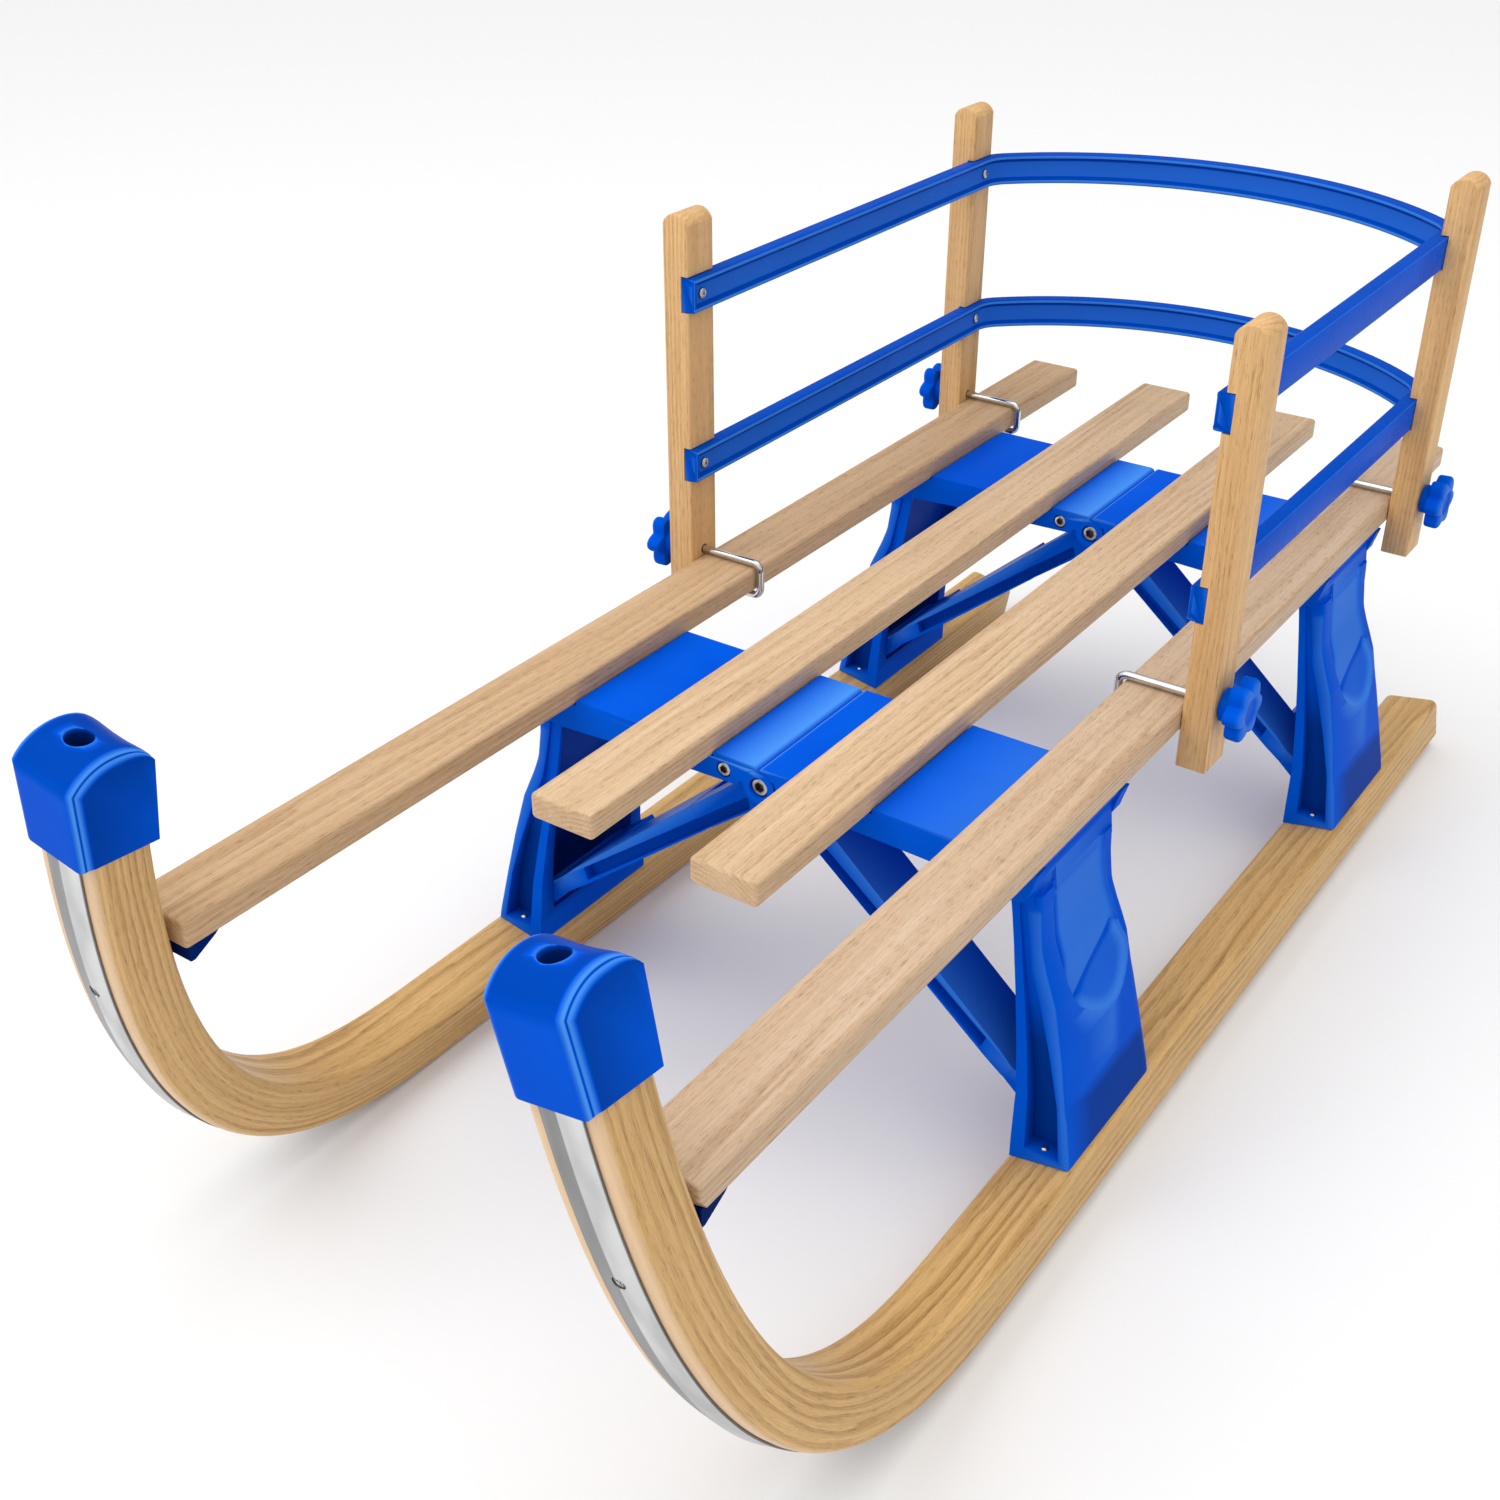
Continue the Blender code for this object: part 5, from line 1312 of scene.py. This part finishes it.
def rail(level, height):
    h = RAIL_H / 2
    section = []
    for d, f in RAIL_SECTION:
        section.append((d, f * h))
    # soften the outer edges
    section[0], section[-1] = (0.0, -h + 0.9), (0.0, h - 0.9)
    section.insert(1, (0.25, -h + 0.25))
    section.insert(len(section) - 1, (0.25, h - 0.25))
    rings = []
    plans = [rail_plan(d) for d, _ in section]
    for i in range(len(plans[0])):
        rings.append([(plans[j][i][0], plans[j][i][1], height + section[j][1]) for j in range(len(section))])
    obj = loft(f"look_rail_{level}", rings, RAIL_BLUE)
    # a lip closes the recess at each front end
    ends = []
    y = Y(POSTS["front"] + 0.6)
    for side in (-1, 1):
        lip = block("lip", (side * (RAIL_OUT - 7.4), side * (RAIL_OUT - 9.85)), (y - 0.02, y + 2.6), (height - h + 0.8, height + h - 0.8), RAIL_BLUE)
        ends.append(soften(lip, 0.5, 2))
    gather(obj, ends)
    shade(obj, 34)
    points = [p for ring in rings for p in ring]
    # painted light: painted highlights on the lip, the inner face and the outer edges; painted shade on the top and
    # bottom faces and under the lip
    def wear_and_painted_light(d, b):
        if d > 9.8:
            return 0.55
        if abs(b) > 0.98 * h and 0.8 < d < 9.2:
            return -0.32
        if 7.8 <= d <= 9.7 and 0.54 * h < abs(b) < 0.75 * h:
            return -0.40
        if d > 7.7 and abs(b) < 0.54 * h:
            return 0.20
        return 0.28 if 0.1 < d < 1.0 else 0.0

    painted_light_values = [wear_and_painted_light(d, b) for _ in rings for d, b in section]
    carry(obj, points, painted_light_values, "painted_light", 0.3)
    put(obj, "backrest", f"rail_{level}", mat_slot="blue_rail")


for level, height in RAILS.items():
    rail(level, height)
    for place, station in POSTS.items():
        for hand, side in SIDES.items():
            y = Y(station + POST_W / 2 - (1.0 if place == "rear" else 3.0))
            face = side * (RAIL_IN + 2.0)
            a, b = Vector((face - side * 1.9, y, height)), Vector((face - side * GAP, y, height))
            screw = rod(f"look_rail_screw_{level}_{place}_{hand}", a, b, 3.4, ZINC, 32,
                        ((0.0, 1.9), (0.14, 2.6), (0.36, 3.1), (0.7, 3.4), (1.0, 3.4)))
            cutters = []
            for da, db in (((0, 1, 0), (0, 0, 1)), ((0, 0, 1), (0, 1, 0))):
                da, db = Vector(da), Vector(db)
                rings = []
                for d, k in ((-0.4, 1.0), (1.2, 0.5)):
                    p = a + Vector((side * d, 0, 0))
                    la, lb = 1.6 * k, 0.4
                    rings.append([tuple(p + da * la + db * lb), tuple(p - da * la + db * lb), tuple(p - da * la - db * lb), tuple(p + da * la - db * lb)])
                cutters.append(loft("cross", rings))
            cut(screw, *cutters)
            join(screw, rod("shank", (b.x - side * 0.4, y, height), (side * 187.0, y, height), 2.0, None, 12))
            tidy(screw)
            shade(screw, 32)

            # painted shade: dark in the cross recess and round the edge of the head
            def paint_shade(px, py, pz):
                wide = math.hypot(py - y, pz - height)
                return 0.9 if abs(px - a.x) > 0.3 and wide < 1.8 else (0.75 if wide > 3.2 else 0.0)

            mark(screw, "painted_shade", paint_shade)
            put(screw, "backrest", f"rail_screw_{level}_{place}_{hand}", mat_slot="zinc_screw")


# ---- hooks and knobs ------------------------------------------------------
def wire_path():
    r = 5.5
    path = [(HOOK_TIP_X, HOOK_Z), (HOOK_TIP_X - 0.5, HOOK_Z), (HOOK_X + r, HOOK_Z)]
    path += arc((HOOK_X + r, HOOK_Z - r), r, 90, 180, 12)[1:]
    path += arc((HOOK_X + r, HOOK_UNDER_Z + r), r, 180, 270, 12)
    path += [(HOOK_LIP_X - 0.6, HOOK_UNDER_Z), (HOOK_LIP_X, HOOK_UNDER_Z)]
    return path


def tube(name, path, ym, side, radius, mat, sides=28):
    rings = []
    n = len(path)
    for i, (x, z) in enumerate(path):
        a, b = path[max(i - 1, 0)], path[min(i + 1, n - 1)]
        d = Vector((b[0] - a[0], b[1] - a[1])).normalized()
        normal = Vector((-d.y, d.x))
        r = radius - (0.5 if i in (0, n - 1) else 0.0)
        rings.append([(side * (x + normal.x * r * math.cos(t)), ym + r * math.sin(t), z + normal.y * r * math.cos(t))
                      for t in (2 * math.pi * k / sides for k in range(sides))])
    return loft(name, rings, mat)


for place, station in POSTS.items():
    ym = Y(station + POST_W / 2)
    for hand, side in SIDES.items():
        hook = tube(f"look_hook_{place}_{hand}", wire_path(), ym, side, 2.5, CHROME)
        shade(hook, 40)
        put(hook, f"hook_{place}_{hand}", f"hook_{place}_{hand}", mat_slot="chromed_wire")

        # star knob: a waisted neck, then six lobes with rounded rims
        sides = 96
        rings = []
        for x, r0, lobe in ((KNOB_X0, KNOB_NECK_R - 0.8, 0.0), (KNOB_X0 + 0.5, KNOB_NECK_R, 0.0), (KNOB_X1 - 1.6, KNOB_NECK_R, 0.0),
                            (KNOB_X1 - 0.3, KNOB_NECK_R + 0.8, 0.05), (KNOB_X1, KNOB_NECK_R + 2.4, 0.3), (KNOB_X1 + 0.05, 15.4, 0.8),
                            (KNOB_X1 + 0.5, 18.0, 1.0), (KNOB_X1 + 1.6, 18.7, 1.0), (KNOB_X2 - 3.2, 19.0, 1.0), (KNOB_X2 - 1.6, 18.5, 1.0),
                            (KNOB_X2 - 0.6, 17.3, 1.0), (KNOB_X2 - 0.1, 15.7, 0.9), (KNOB_X2, 13.4, 0.6), (KNOB_X2 - 0.1, 9.4, 0.15),
                            (KNOB_X2 - 1.0, 7.6, 0.0), (KNOB_X2 - 1.2, 6.0, 0.0)):
            ring = []
            for i in range(sides):
                t = 2 * math.pi * i / sides
                # broad lobes with narrow waists between them
                w = (0.5 + 0.5 * math.cos(6 * t)) ** 0.75
                r = r0 - lobe * 5.4 * (1 - w)
                ring.append((side * x, ym + r * math.cos(t), HOOK_Z + r * math.sin(t)))
            rings.append(ring)
        knob = loft(f"look_knob_{place}_{hand}", rings, BLUE)
        cut(knob, rod("bore", (side * 185, ym, HOOK_Z), (side * (HOOK_TIP_X + 1.0), ym, HOOK_Z), WIRE_R + GAP, None, 24))
        shade(knob, 40)
        # painted highlight on the flat outer face, away from its middle
        mark(knob, "painted_light", lambda x, y, z: 0.30 * smooth(abs(x), KNOB_X2 - 2.2, KNOB_X2 - 0.4) * smooth(math.hypot(y - ym, z - HOOK_Z), 7.0, 9.5))
        put(knob, f"knob_{place}_{hand}", f"knob_{place}_{hand}", mat_slot="blue_plastic")


# ---- floor, light and camera ----------------------------------------------
def stage():
    floor_mesh = bpy.data.meshes.new("floor")
    s = 14.0
    floor_mesh.from_pydata([(-s, -s, 0), (s, -s, 0), (s, s, 0), (-s, s, 0)], [], [(0, 1, 2, 3)])
    floor = bpy.data.objects.new("floor", floor_mesh)
    floor.location.z = -0.0002
    bpy.context.scene.collection.objects.link(floor)
    mat, t, shader = material("floor")
    shader.inputs["Base Color"].default_value = (0.86, 0.86, 0.86, 1)
    shader.inputs["Roughness"].default_value = 0.9
    shader.inputs["Specular IOR Level"].default_value = 0.1
    floor_mesh.materials.append(mat)

    world = bpy.data.worlds.new("studio")
    bpy.context.scene.world = world
    world.use_nodes = True
    back = world.node_tree.nodes["Background"]
    back.inputs[0].default_value = (1.0, 1.0, 1.0, 1)
    sky = Tree(world.node_tree)
    toward = sky.node("ShaderNodeTexCoord").outputs["Generated"]
    lean = sky.vmath("DOT_PRODUCT", toward, (-0.20, -0.50, 0.84), out=1)
    height = sky.split(toward)[2]
    sky.put(back.inputs[1], sky.math("MULTIPLY", sky.range(lean, -0.5, 0.9, 0.2, 1.32, "LINEAR"), sky.range(height, 0.02, 0.24, 0.15, 1.0)))

    def area(name, at, to, size, power, size_y=None):
        light = bpy.data.lights.new(name, "AREA")
        light.energy = power
        light.size = size
        if size_y:
            light.shape = "RECTANGLE"
            light.size_y = size_y
        obj = bpy.data.objects.new(name, light)
        obj.location = at
        obj.rotation_euler = (Vector(to) - Vector(at)).to_track_quat("-Z", "Y").to_euler()
        bpy.context.scene.collection.objects.link(obj)

    area("key", (-1.2, -1.5, 2.6), (0, 0, 0.15), 1.8, 17.0)
    area("top", (0.3, 0.3, 3.0), (0, 0, 0.2), 2.4, 14.0)
    area("side", (2.4, 0.6, 1.3), (0.1, 0, 0.15), 1.0, 3.0, 1.6)
    scene = bpy.context.scene
    scene.view_settings.view_transform = "Standard"
    scene.view_settings.look = "None"

    cam = bpy.data.cameras.new("camera")
    cam.lens = 44.335
    cam.sensor_width = 36.0
    cam.clip_start = 0.01
    obj = bpy.data.objects.new("camera", cam)
    obj.location = (0.4963, -0.8767, 0.7653)
    obj.rotation_euler = (1.0288, 0.0, 0.6100)
    scene.collection.objects.link(obj)
    scene.camera = obj


stage()
